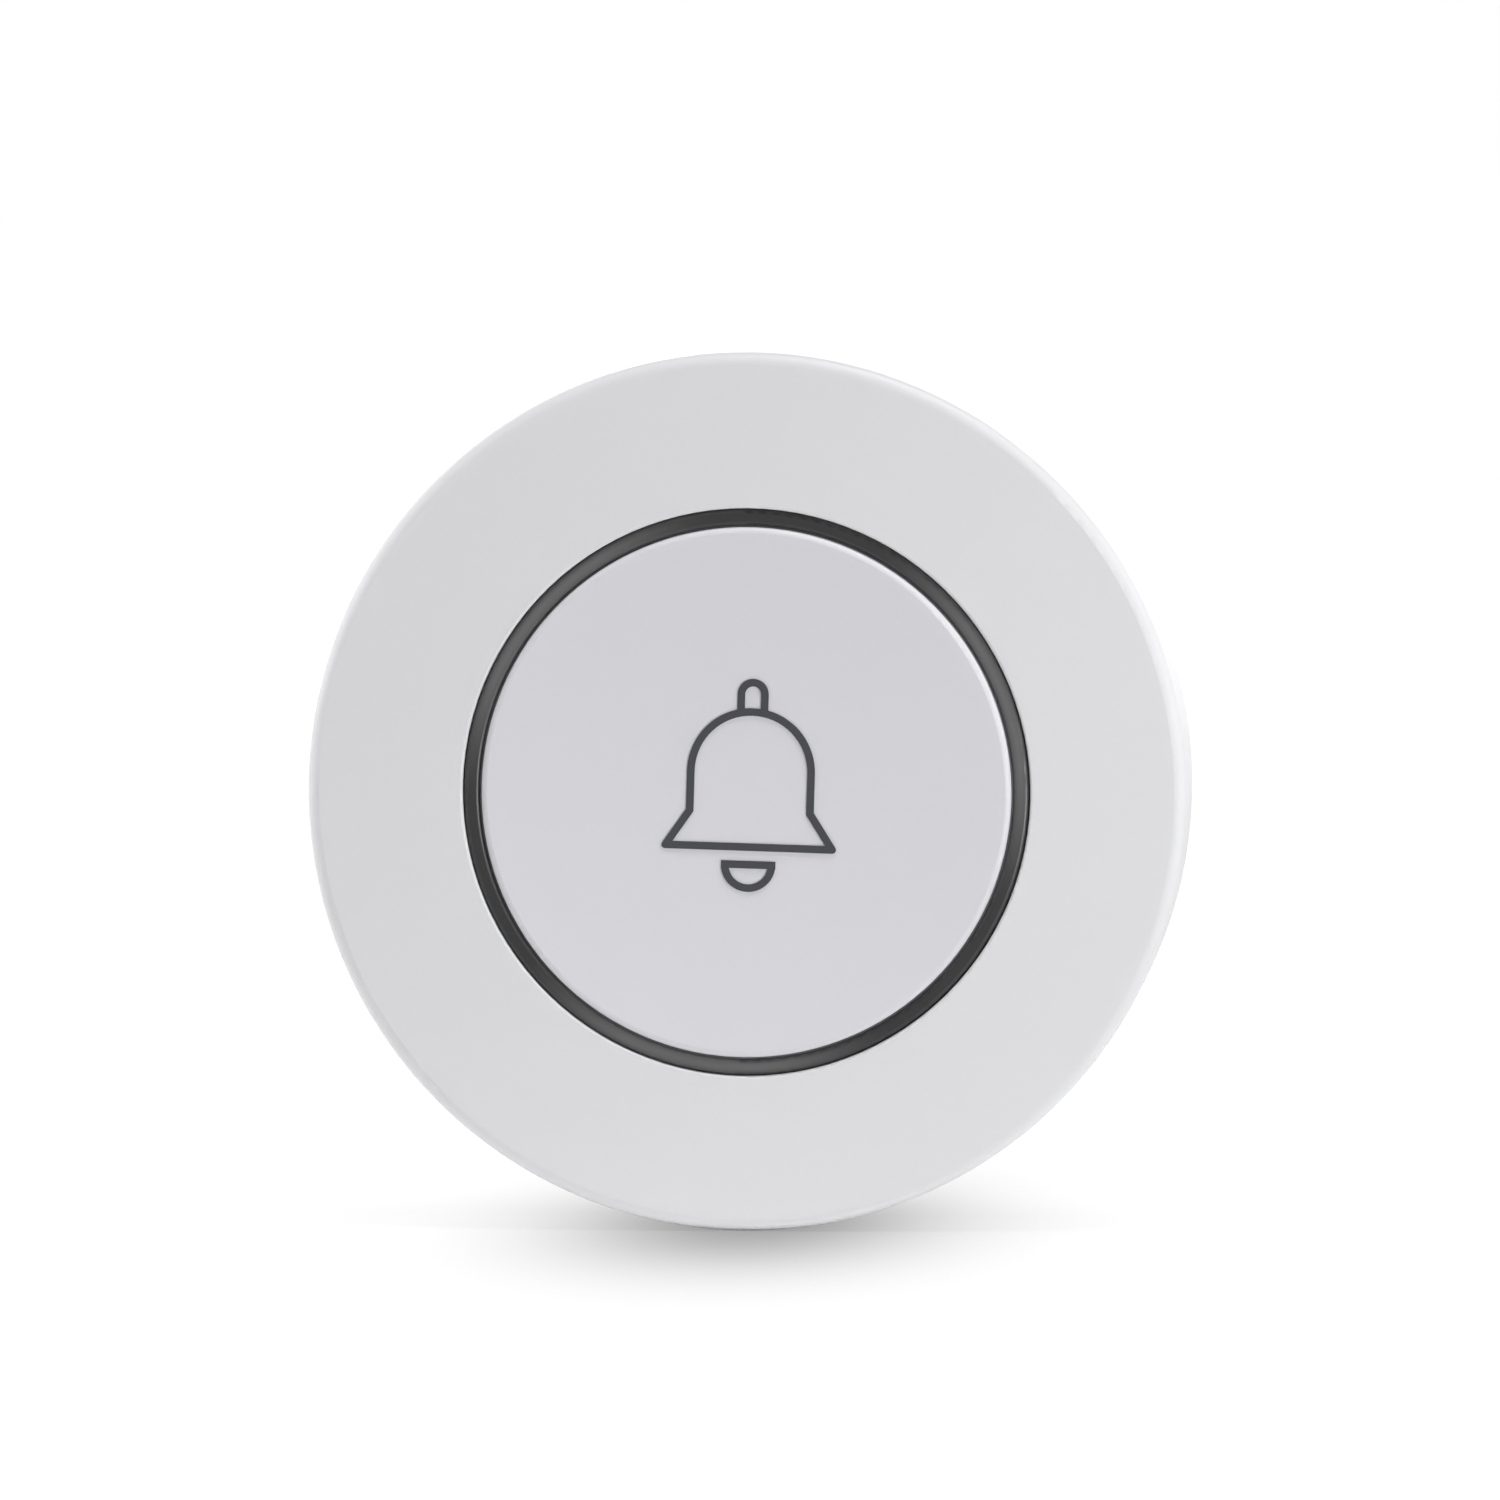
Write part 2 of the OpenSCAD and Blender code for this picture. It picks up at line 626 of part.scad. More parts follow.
// Half section of the hollow in the button's face, in rings that are too fine to see and with a flat middle
module dish_section() {
  rings = 20;
  ring = dish_rim_r / rings;
  polygon(concat(
    [[0, dish_height(ring)]],
    [for (i = [1:rings]) [ring * i, dish_height(ring * i)]],
    [[dish_rim_r, z_rim + cut], [0, z_rim + cut]]));
}

// Flexible leg with a bevelled head that catches behind the light ring
module snap_hook(z_top) {
  angle = hook_w / button_r * 180 / PI;
  lead = hook_reach / 2;
  rotate([0, 0, -angle / 2]) rotate_extrude(angle = angle) polygon([
    [skirt_r + hook_inset, z_hook_back],
    [hook_r - lead, z_hook_back],
    [hook_r, z_hook_back + lead],
    [hook_r, z_hook_front],
    [button_r - hook_inset, z_hook_front],
    [button_r - hook_inset, z_top + merge],
    [skirt_r + hook_inset, z_top + merge]
  ]);
}

// Printed bell symbol: a thin layer of ink that follows the button's hollow
module bell_print() color("darkslategray") stand() {
  intersection() {
    translate([bell_shift_x, bell_shift_y, z_rim - button_t])
      linear_extrude(2 * button_t) bell_outline();
    translate([0, 0, dish_z + print_lift]) rotate_extrude() intersection() {
      difference() {
        circle(r = dish_r, $fn = 1440);
        circle(r = dish_r - print_t, $fn = 1440);
      }
      translate([0, -dish_r - print_t]) square([button_r, button_t]);
    }
  }
}

// Line drawing of the bell, with the middle of its base line at the origin
module bell_outline() {
  dome_y = bell_flare_h + bell_side_h;
  arch_y = dome_y + bell_dome_r + bell_loop_h;
  line([-bell_base_half, 0], [bell_base_half, 0]);
  for (side = [-1, 1]) {
    line([side * bell_base_half, 0], [side * bell_dome_r, bell_flare_h]);
    line([side * bell_dome_r, bell_flare_h], [side * bell_dome_r, dome_y]);
    translate([side * bell_loop_r - print_line / 2, arch_y - bell_loop_h])
      square([print_line, bell_loop_h]);
  }
  translate([0, dome_y]) half_ring(bell_dome_r);
  translate([0, arch_y]) half_ring(bell_loop_r);
  translate([0, -bell_clapper_drop]) {
    mirror([0, 1]) half_ring(bell_clapper_r);
    translate([-bell_clapper_r - print_line / 2, -print_line / 2])
      square([2 * bell_clapper_r + print_line, print_line]);
  }
}

// Printed line with round ends
module line(a, b) {
  along = b - a;
  translate(a) {
    circle(d = print_line);
    rotate(atan2(along.y, along.x)) translate([0, -print_line / 2]) square([norm(along), print_line]);
  }
  translate(b) circle(d = print_line);
}

// Upper half of a printed ring
module half_ring(r) {
  intersection() {
    difference() {
      circle(r = r + print_line / 2);
      circle(r = r - print_line / 2);
    }
    translate([-r - print_line, 0]) square([2 * (r + print_line), r + print_line]);
  }
}

// Three steel springs that push the button back out
module return_springs() color("silver") stand()
  thrice(board_screw_angle) at(0, spring_place_r, z_frame_front + touch_gap)
    rotate([0, -90, 0]) mirror([0, 0, 1]) coil(spring_d, spring_wire, spring_turns, spring_l);

// Spring frame: a plate over the board with spring seats and three screwed arms
module spring_frame() color("white") stand() difference() {
  union() {
    translate([0, 0, z_frame_back]) linear_extrude(frame_t) {
      circle(r = frame_r);
      thrice(board_screw_angle) translate([frame_r - frame_arm_w, -frame_arm_w / 2])
        square([board_boss_place_r - frame_r + frame_arm_w, frame_arm_w]);
    }
    thrice(board_screw_angle) {
      at(0, board_boss_place_r, z_board_front) cylinder(r = boss_r + part_room, h = eyelet_h);
      at(0, spring_place_r, z_frame_front - merge) cylinder(r = spring_pin_r, h = merge + spring_pin_h);
    }
  }
  translate([0, 0, z_frame_back - cut])
    cylinder(r = switch_w * sqrt(2) / 2 + 2 * side_room, h = frame_t + 2 * cut);
  thrice(board_screw_angle) at(0, board_boss_place_r, z_board_front - cut)
    cylinder(d = board_screw_d + 2 * screw_fit, h = eyelet_h + 2 * cut);
}

// Round circuit board, notched around the cover bosses
module circuit_board() color("darkgreen") stand() difference() {
  translate([0, 0, z_board_back]) cylinder(r = board_r, h = board_t);
  thrice(cover_screw_angle) at(0, cover_boss_place_r, z_board_back - cut)
    cylinder(r = notch_r, h = board_t + 2 * cut);
  thrice(cover_screw_angle) translate([cover_boss_place_r, -notch_r, z_board_back - cut])
    cube([board_edge_gap + notch_r + side_wall, 2 * notch_r, board_t + 2 * cut]);
  thrice(board_screw_angle) at(0, board_boss_place_r, z_board_back - cut)
    cylinder(d = board_screw_d + 2 * screw_fit, h = board_t + 2 * cut);
}

// Pan head screws through the board and the spring frame into the front shell
module board_screws() color("silver") stand()
  thrice(board_screw_angle) at(0, board_boss_place_r, z_board_back - board_head_h) difference() {
    union() {
      cylinder(d = board_head_d, h = board_head_h);
      cylinder(d = board_screw_d, h = board_head_h + board_screw_l);
    }
    cross_recess();
  }

// Plastic base of the push switch, with a round cavity for the plunger
module switch_base() color("black") stand() difference() {
  translate([0, 0, z_board_front]) block(switch_w, switch_w, switch_h - switch_cover_t);
  translate([0, 0, z_dome_back]) cylinder(r = cavity_r, h = switch_h);
}

// Metal cover plate of the push switch
module switch_cover() color("silver") stand() difference() {
  translate([0, 0, z_switch_front - switch_cover_t]) block(switch_w, switch_w, switch_cover_t);
  translate([0, 0, z_collar_back]) cylinder(r = plunger_r + 2 * touch_gap, h = switch_h);
}

// Plunger of the push switch, kept in by its collar
module switch_plunger() color("dimgray") stand() {
  translate([0, 0, z_collar_back]) cylinder(r = plunger_r, h = z_plunger_front - z_collar_back);
  translate([0, 0, z_collar_back]) cylinder(r = collar_r, h = plunger_collar_t);
}

// Rubber cone under the plunger that gives the switch its soft travel
module switch_dome() color("gray") stand()
  translate([0, 0, z_dome_back])
    cylinder(r1 = collar_r, r2 = plunger_r / 2, h = z_collar_back - z_dome_back - touch_gap);

// Soldered feet of the push switch
module switch_terminals() color("silver") stand() {
  for (x = [-1, 1], y = [-1, 1])
    translate([x * (switch_w + foot_l) / 2, y * switch_w / 3, z_board_front])
      block(foot_l, foot_w, foot_t);
}

// Three LEDs under the legs of the light ring
module ring_leds() color("ivory") stand()
  thrice(led_angle) at(0, led_place_r, z_board_front) block(led_w, led_w, led_h);

// Radio transmitter chip on the back of the board
module radio_chip() color("black") stand()
  at(chip_angle, chip_place_r, z_board_back - chip_h) block(chip_w, chip_l, chip_h - chip_lift);

// Gull-wing legs of the radio chip, four on each side
module chip_legs() color("silver") stand() {
  leg_pitch = chip_l / 4;
  at(chip_angle, chip_place_r, z_board_back) mirror([0, 0, 1]) for (side = [0, 180], i = [0:3])
    rotate([0, 0, side]) translate([chip_w / 2, (i - 1.5) * leg_pitch - leg_w / 2, 0]) {
      cube([leg_reach, leg_w, leg_t]);
      cube([leg_t, leg_w, chip_h / 2]);
    }
}

// Frequency crystal in a metal can, beside the radio chip
module crystal() color("lightgray") stand()
  at(crystal_angle, chip_place_r, z_board_back - crystal_h) block(crystal_w, crystal_l, crystal_h);

// Coiled wire antenna lying on the board
module antenna_coil() color("peru") stand()
  at(antenna_angle, antenna_place_r, z_board_front + antenna_d / 2 + touch_gap)
    rotate([0, 0, 90]) translate([-antenna_l / 2, 0, 0])
      coil(antenna_d, antenna_wire, antenna_turns, antenna_l);

// Chip resistors and capacitors, set out on the ring of the LEDs
module chip_parts(angles, h)
  for (angle = angles) at(angle, led_place_r, z_board_front) block(chip_part_l, chip_part_w, h);
module chip_resistors() color("black") stand() chip_parts(resistor_angles, resistor_h);
module chip_capacitors() color("tan") stand() chip_parts(capacitor_angles, capacitor_h);

// Coin cell: a flat can with its raised lid towards the board
module coin_cell() color("lightgray") stand() {
  translate([0, 0, z_cell_back]) cylinder(r = cell_r, h = cell_t - cell_lid_t);
  translate([0, 0, z_cell_back]) cylinder(r = cell_r - cell_shoulder, h = cell_t);
}

// Spring strip that touches the side of the coin cell
module cell_side_contact() color("gold") stand() rotate([0, 0, contact_angle]) {
  x0 = cell_r + touch_gap;
  strip_l = cell_fit + well_wall + contact_foot;
  z0 = z_cell_back + 2 * cell_recess;
  translate([x0, -contact_w / 2, z0]) cube([contact_t, contact_w, z_board_back - z0]);
  translate([x0, -contact_w / 2, z_board_back - contact_t]) cube([strip_l, contact_w, contact_t]);
}

// Contact plate with two dimples that touch the lid of the coin cell
module cell_base_contact() color("gold") stand() {
  translate([0, 0, z_board_back - contact_t]) block(contact_plate_l, contact_w, contact_t);
  for (side = [-1, 1]) translate([side * contact_plate_l / 4, 0, z_cell_front + touch_gap])
    cylinder(r = dimple_r, h = z_board_back - contact_t / 2 - z_cell_front - touch_gap);
}

echo(depth = z_face, thickest = z_rim);
spring_points = coil_points(spring_turns, (spring_d - spring_wire) / 2, spring_l - spring_wire);
antenna_points = coil_points(antenna_turns, (antenna_d - antenna_wire) / 2, antenna_l - antenna_wire);
echo(spring_gap = least_gap(spring_points, spring_wire));
echo(antenna_gap = least_gap(antenna_points, antenna_wire));

wall_plate();
rear_cover();
cover_gasket();
cover_screws();
front_shell();
light_ring();
button_cap();
bell_print();
return_springs();
spring_frame();
circuit_board();
board_screws();
switch_base();
switch_cover();
switch_plunger();
switch_dome();
switch_terminals();
ring_leds();
radio_chip();
chip_legs();
crystal();
antenna_coil();
chip_resistors();
chip_capacitors();
coin_cell();
cell_side_contact();
cell_base_contact();
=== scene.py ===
"""Looks of a round wireless doorbell button: finishes for the solids, finer wound pieces and the studio."""

import math

import bpy
import numpy as np
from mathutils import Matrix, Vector


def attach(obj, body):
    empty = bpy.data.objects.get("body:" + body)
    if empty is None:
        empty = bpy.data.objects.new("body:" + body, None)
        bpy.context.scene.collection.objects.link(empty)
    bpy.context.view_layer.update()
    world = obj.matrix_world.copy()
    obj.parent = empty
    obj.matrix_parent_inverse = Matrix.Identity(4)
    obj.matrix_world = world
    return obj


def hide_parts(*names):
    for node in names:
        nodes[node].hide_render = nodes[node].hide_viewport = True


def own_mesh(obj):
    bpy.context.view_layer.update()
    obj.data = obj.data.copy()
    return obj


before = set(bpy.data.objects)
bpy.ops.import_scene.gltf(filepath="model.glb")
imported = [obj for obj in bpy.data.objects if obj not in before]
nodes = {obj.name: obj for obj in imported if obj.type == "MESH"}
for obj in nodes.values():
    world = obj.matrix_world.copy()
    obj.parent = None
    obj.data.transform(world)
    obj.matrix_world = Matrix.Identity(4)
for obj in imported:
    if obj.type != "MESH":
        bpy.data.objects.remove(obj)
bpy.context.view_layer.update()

# Wall plate: the disc that two screws hold to the wall, with three bayonet lugs on its front.
# It is injection moulded from pale grey plastic with a spark-eroded grain; the pins that push it
# out of the mould leave small round marks in the hollows of its back.
MM = 0.001
HOLLOW_FLOOR, OUTER_PINS, INNER_PINS = 0.6, 27.6, 9.5
PIN_RADIUS, PIN_RISE, PIN_ROOT = 0.9, 0.12, 0.05
PIN_BEVEL_IN, PIN_BEVEL_DOWN = 0.06, 0.04


def add(tree, kind, inputs=None, **options):
    """Adds one shader node, sets its options by name and its input sockets from values or other sockets."""
    made = tree.nodes.new(kind)
    for name, value in options.items():
        setattr(made, name, value)
    for name, value in (inputs or {}).items():
        if isinstance(value, bpy.types.NodeSocket):
            tree.links.new(value, made.inputs[name])
        else:
            made.inputs[name].default_value = value
    return made


def maths(tree, operation, *values):
    """Adds one Math node on values or other sockets and returns its result."""
    return add(tree, "ShaderNodeMath", dict(enumerate(values)), operation=operation).outputs[0]


def new_group(name, inputs, outputs):
    """Makes an empty shader node group, with sockets from (name, kind, default) and (name, kind)."""
    group = bpy.data.node_groups.new(name, "ShaderNodeTree")
    for socket, kind, default in inputs:
        made = group.interface.new_socket(socket, in_out="INPUT", socket_type=kind)
        made.default_value = default
    for socket, kind in outputs:
        group.interface.new_socket(socket, in_out="OUTPUT", socket_type=kind)
    return group, add(group, "NodeGroupInput").outputs, add(group, "NodeGroupOutput").inputs


def moulded_surface():
    """Group for moulded plastic: a broad tone drift from the melt's flow and a fine grain from the mould.

    Both are noise on the piece's own coordinates. The grain also breaks up the gloss a little.
    """
    group, given, out = new_group(
        "moulded_surface",
        [("Colour", "NodeSocketColor", (0.7, 0.7, 0.7, 1)), ("Roughness", "NodeSocketFloat", 0.45),
         ("Grain per metre", "NodeSocketFloat", 9000.0), ("Drift", "NodeSocketFloat", 0.03)],
        [("Colour", "NodeSocketColor"), ("Roughness", "NodeSocketFloat"), ("Height", "NodeSocketFloat")])
    place = add(group, "ShaderNodeTexCoord").outputs["Object"]
    broad = {"Vector": place, "Scale": 55.0, "Detail": 3.0, "Roughness": 0.45}
    fine = {"Vector": place, "Scale": given["Grain per metre"], "Detail": 1.0, "Roughness": 0.5}
    flow = add(group, "ShaderNodeTexNoise", broad).outputs["Fac"]
    grain = add(group, "ShaderNodeTexNoise", fine).outputs["Fac"]
    drift = maths(group, "MULTIPLY", maths(group, "SUBTRACT", flow, 0.5), given["Drift"])
    shade = add(group, "ShaderNodeVectorMath", operation="SCALE",
                inputs={0: given["Colour"], "Scale": maths(group, "ADD", drift, 1.0)})
    uneven = maths(group, "MULTIPLY", maths(group, "SUBTRACT", grain, 0.5), 0.1)
    group.links.new(shade.outputs[0], out["Colour"])
    group.links.new(maths(group, "ADD", given["Roughness"], uneven), out["Roughness"])
    group.links.new(grain, out["Height"])
    return group


MOULDED = moulded_surface()


def surfaced(name, group, settings, bump, depth):
    """Material with a group named skin for colour and roughness, and a bump named relief of a depth in mm."""
    made = bpy.data.materials.new(name)
    made.use_nodes = True
    tree = made.node_tree
    shader = tree.nodes["Principled BSDF"].inputs
    skin = add(tree, "ShaderNodeGroup", settings, node_tree=group)
    skin.name = "skin"
    relief = add(tree, "ShaderNodeBump",
                 {"Strength": bump, "Distance": depth * MM, "Height": skin.outputs["Height"]})
    relief.name = "relief"
    tree.links.new(skin.outputs["Colour"], shader["Base Color"])
    tree.links.new(skin.outputs["Roughness"], shader["Roughness"])
    tree.links.new(relief.outputs["Normal"], shader["Normal"])
    return made


def plastic(name, colour, roughness, grain=9000.0, drift=0.03, bump=0.05, specular=0.5):
    """Moulded plastic with a grain per metre, a share of tone drift and a shallow bump."""
    settings = {"Colour": (*colour, 1), "Roughness": roughness, "Grain per metre": grain, "Drift": drift}
    made = surfaced(name, MOULDED, settings, bump, depth=0.02)
    made.node_tree.nodes["Principled BSDF"].inputs["Specular IOR Level"].default_value = specular
    return made


def finish_node(name, material):
    """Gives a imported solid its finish."""
    nodes[name].data.materials.clear()
    nodes[name].data.materials.append(material)


def placed(points, degrees, out, height):
    """Stands local points upright at each of the given angles.

    Local x points away from the disc's axis, y sideways and z towards the front, in millimetres. The points
    are moved out and forward, turned about the axis, and then z becomes -Y and y becomes Z, in metres.
    """
    turn = np.radians(np.atleast_1d(degrees))[:, None]
    x, y = points[:, 0] + out, points[:, 1]
    across = x * np.cos(turn) - y * np.sin(turn)
    up = x * np.sin(turn) + y * np.cos(turn)
    depth = np.broadcast_to(-(points[:, 2] + height), across.shape)
    return np.stack([across, depth, up], -1).reshape(-1, 3) * MM


def copied(faces, count, size):
    """Faces of a shape with size points, repeated for count copies that follow one another."""
    return (faces + size * np.arange(count)[:, None, None]).reshape(-1, faces.shape[1])


def grid_faces(rows, columns, wrap_rows):
    """Quads of a grid of points whose columns close on themselves, and whose rows do if wrap_rows is true."""
    row, column = np.mgrid[0:rows if wrap_rows else rows - 1, 0:columns]
    here, after = row * columns, (row + 1) % rows * columns
    beside = (column + 1) % columns
    return np.stack([here + column, here + beside, after + beside, after + column], -1).reshape(-1, 4)


def new_piece(name, points, faces, material, body, crease=35):
    """Puts points and faces into a smooth mesh object that rides a body and takes its finish from a slot."""
    mesh = bpy.data.meshes.new(name)
    mesh.from_pydata(points.tolist(), [], faces)
    mesh.shade_smooth()
    mesh.set_sharp_from_angle(angle=math.radians(crease))
    mesh.materials.append(material)
    made = bpy.data.objects.new(name, mesh)
    bpy.context.scene.collection.objects.link(made)
    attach(made, body)
    return made


def turned_solid(radius, height, sides, copies=1):
    """Profile of (radius, height) points carried round an axis, with faces for a number of copies.

    The profile starts at the front pole on the axis, runs down the outside and ends at the back pole.
    """
    turn = np.linspace(0, 2 * np.pi, sides, endpoint=False)
    rim_r, rim_h = radius[1:-1, None], height[1:-1, None]
    level = np.broadcast_to(rim_h, (rim_h.size, sides))
    rings = np.stack([rim_r * np.cos(turn), rim_r * np.sin(turn), level], -1)
    poles = np.array([[0, 0, height[0]], [0, 0, height[-1]]])
    points = np.concatenate([rings.reshape(-1, 3), poles])
    size = len(points)
    walls = grid_faces(rim_h.size, sides, False)[:, ::-1]
    here, beside = np.arange(sides), (np.arange(sides) + 1) % sides
    last = (rim_h.size - 1) * sides
    front = np.stack([np.full(sides, size - 2), here, beside], 1)
    back = np.stack([np.full(sides, size - 1), last + beside, last + here], 1)
    ends = np.concatenate([front, back])
    return points, copied(walls, copies, size).tolist() + copied(ends, copies, size).tolist()


plate_plastic = plastic("plate_plastic", (0.66, 0.66, 0.67), roughness=0.5, bump=0.3)
finish_node("wall_plate", plate_plastic)
pin_r = np.array([0, PIN_RADIUS, PIN_RADIUS, PIN_RADIUS - PIN_BEVEL_IN, 0])
pin_h = np.array([PIN_ROOT, PIN_ROOT, PIN_BEVEL_DOWN - PIN_RISE, -PIN_RISE, -PIN_RISE])
shape, faces = turned_solid(pin_r, pin_h, sides=48, copies=3)
points = placed(shape, [0, 120, 240], OUTER_PINS, HOLLOW_FLOOR)
new_piece("outer_pin_marks", points, faces, plate_plastic, "plate")
points = placed(shape, [60, 180, 300], INNER_PINS, HOLLOW_FLOOR)
new_piece("inner_pin_marks", points, faces, plate_plastic, "plate")

# Rear cover: closes the housing's back, takes the lugs in its slots and holds the coin cell in a well.
# It is moulded from the same pale plastic as the plate, and three screws hold it.
finish_node("rear_cover", plastic("cover_plastic", (0.64, 0.64, 0.65), roughness=0.52, bump=0.25))

# Cover gasket: a soft black silicone ring squeezed between the rear cover and the ledge in the side wall.
# It is moulded with a shallow groove in both faces, so that it seals along two lips.
GASKET_INNER, GASKET_OUTER = 30.45, 31.25
GASKET_BACK, GASKET_FRONT = 4.2, 4.7
GROOVE_DEPTH, GROOVE_WIDTH = 0.3, 0.35


def turned_ring(radius, height, sides):
    """Closed loop of (radius, height) points carried round the disc's axis; the loop runs anticlockwise."""
    turn = np.linspace(0, 2 * np.pi, sides, endpoint=False)[:, None]
    level = np.broadcast_to(height, (sides, height.size))
    points = np.stack([radius * np.cos(turn), radius * np.sin(turn), level], -1)
    faces = grid_faces(sides, radius.size, True)[:, ::-1]
    return placed(points.reshape(-1, 3), degrees=0, out=0, height=0), faces.tolist()


def blunt(value, power):
    """Sine or cosine with flatter tops, so that a circle becomes a rounded rectangle."""
    return np.sign(value) * np.abs(value) ** power


def band_profile(inner, outer, back, front, power, power_up):
    """Rounded rectangle between two radii and two heights, run anticlockwise; low powers make it square."""
    loop = np.linspace(0, 2 * np.pi, 40, endpoint=False)
    radius = (inner + outer) / 2 + (outer - inner) / 2 * blunt(np.cos(loop), power)
    height = (back + front) / 2 + (front - back) / 2 * blunt(np.sin(loop), power_up)
    return radius, height


gasket_r, gasket_h = band_profile(GASKET_INNER, GASKET_OUTER, GASKET_BACK, GASKET_FRONT,
                                  power=0.4, power_up=0.5)
middle_r, middle_h = (GASKET_INNER + GASKET_OUTER) / 2, (GASKET_BACK + GASKET_FRONT) / 2
aside = (gasket_r - middle_r) / (GASKET_OUTER - middle_r)
thinner = 1 - GROOVE_DEPTH * np.exp(-(aside / GROOVE_WIDTH) ** 2)
points, faces = turned_ring(gasket_r, middle_h + (gasket_h - middle_h) * thinner, sides=180)
silicone = plastic("gasket_silicone", (0.03, 0.03, 0.032), roughness=0.62, grain=4000.0, bump=0.2,
                   specular=0.35)
gasket = new_piece("gasket_ring", points, faces, silicone, "housing")
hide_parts("cover_gasket")

# Coin cell: a nickel-plated steel can with a raised lid; a black plastic grommet shows as a thin ring
# between the two. The cell drops into the rear cover's well from behind.
GROMMET_INNER, GROMMET_OUTER, GROMMET_BACK, GROMMET_FRONT = 8.78, 9.15, 5.55, 5.75


def ramp(tree, value, low, high, at_low, at_high):
    """Smooth change from at_low to at_high while value goes from low to high."""
    limits = {"From Min": low, "From Max": high, "To Min": at_low, "To Max": at_high}
    made = add(tree, "ShaderNodeMapRange", {"Value": value, **limits}, interpolation_type="SMOOTHSTEP")
    return made.outputs["Result"]


def worked_metal():
    """Group for rolled, drawn or stamped metal: fine lines along one direction and a patchy dulling.

    The lines are noise on coordinates that are multiplied by a number of lines per metre for each axis.
    """
    group, given, out = new_group(
        "worked_metal",
        [("Colour", "NodeSocketColor", (0.6, 0.6, 0.6, 1)), ("Roughness", "NodeSocketFloat", 0.3),
         ("Lines per metre", "NodeSocketVector", (9000.0, 9000.0, 500.0))],
        [("Colour", "NodeSocketColor"), ("Roughness", "NodeSocketFloat"), ("Height", "NodeSocketFloat")])
    place = add(group, "ShaderNodeTexCoord").outputs["Object"]
    along = add(group, "ShaderNodeVectorMath", {0: place, 1: given["Lines per metre"]}, operation="MULTIPLY")
    lines = add(group, "ShaderNodeTexNoise", {"Vector": along.outputs[0], "Scale": 1.0, "Detail": 2.0})
    dull = add(group, "ShaderNodeTexNoise", {"Vector": place, "Scale": 350.0, "Detail": 3.0})
    shade = add(group, "ShaderNodeVectorMath", operation="SCALE",
                inputs={0: given["Colour"], "Scale": ramp(group, lines.outputs["Fac"], 0.2, 0.8, 0.88, 1.06)})
    patchy = ramp(group, dull.outputs["Fac"], 0.3, 0.7, -0.06, 0.1)
    group.links.new(shade.outputs[0], out["Colour"])
    group.links.new(maths(group, "ADD", given["Roughness"], patchy), out["Roughness"])
    group.links.new(lines.outputs["Fac"], out["Height"])
    return group


METAL = worked_metal()


def metal(name, colour, roughness, lines):
    """Worked metal with lines per metre along each axis and a very shallow bump."""
    settings = {"Colour": (*colour, 1), "Roughness": roughness, "Lines per metre": lines}
    made = surfaced(name, METAL, settings, bump=0.08, depth=0.01)
    made.node_tree.nodes["Principled BSDF"].inputs["Metallic"].default_value = 1.0
    return made


cell_steel = metal("cell_steel", (0.66, 0.66, 0.65), roughness=0.22, lines=(400.0, 400.0, 12000.0))
finish_node("coin_cell", cell_steel)
grommet_r, grommet_h = band_profile(GROMMET_INNER, GROMMET_OUTER, GROMMET_BACK, GROMMET_FRONT,
                                    power=0.6, power_up=0.6)
points, faces = turned_ring(grommet_r, grommet_h, sides=160)
black_plastic = plastic("switch_black", (0.022, 0.022, 0.023), roughness=0.48, drift=0.1, bump=0.2)
new_piece("cell_grommet", points, faces, black_plastic, "housing")

# Cell contacts: two strips stamped from thin springy bronze and plated, soldered to the board's back.
# One is an L that stands along the can's side, and the other a plate whose two dimples touch its lid.
contact_metal = metal("contact_metal", (0.72, 0.56, 0.26), roughness=0.28, lines=(9000.0, 700.0, 9000.0))
finish_node("cell_side_contact", contact_metal)
finish_node("cell_base_contact", contact_metal)

# Circuit board: a round glass-fibre laminate with green solder resist over its copper tracks.
# The tracks stand proud of the laminate by the copper's thickness, and the sawn edge stays bare.
BOARD_RADIUS = 28.2
TRACK_PITCH, TRACK_HALF, TRACK_HEIGHT = 0.7, 0.11, 4.0
FIELDS_PER_METRE, EMPTY_FIELDS = 170.0, 0.3
EDGE_FROM, EDGE_TO = BOARD_RADIUS - 0.08, BOARD_RADIUS - 0.02


def mixed(tree, mask, first, second):
    """Colour that is first where mask is 0 and second where it is 1."""
    made = add(tree, "ShaderNodeMix", {0: mask, 6: first, 7: second}, data_type="RGBA")
    return made.outputs[2]


def flattened(tree):
    """The piece's own coordinates with the depth taken out."""
    place = add(tree, "ShaderNodeTexCoord").outputs["Object"]
    return add(tree, "ShaderNodeVectorMath", {0: place, 1: (1, 0, 1)}, operation="MULTIPLY").outputs[0]


board_laminate = plastic("board_laminate", (0.012, 0.105, 0.04), roughness=0.28, grain=2500.0, drift=0.25,
                         bump=0.1)
tree = board_laminate.node_tree
flat = flattened(tree)
fields = add(tree, "ShaderNodeTexVoronoi", {"Vector": flat, "Scale": FIELDS_PER_METRE}, distance="CHEBYCHEV")
chance = add(tree, "ShaderNodeSeparateColor", {0: fields.outputs["Color"]}).outputs
apart = add(tree, "ShaderNodeSeparateXYZ", {0: flat}).outputs
to_track = [maths(tree, "PINGPONG", apart[axis], TRACK_PITCH / 2 * MM) for axis in ("X", "Z")]
upright, level = [maths(tree, "LESS_THAN", distance, TRACK_HALF * MM) for distance in to_track]
is_level = maths(tree, "GREATER_THAN", chance["Red"], 0.5)
lines = add(tree, "ShaderNodeMix", {0: is_level, 2: upright, 3: level}).outputs[0]
track = maths(tree, "MULTIPLY", lines, maths(tree, "GREATER_THAN", chance["Green"], EMPTY_FIELDS))
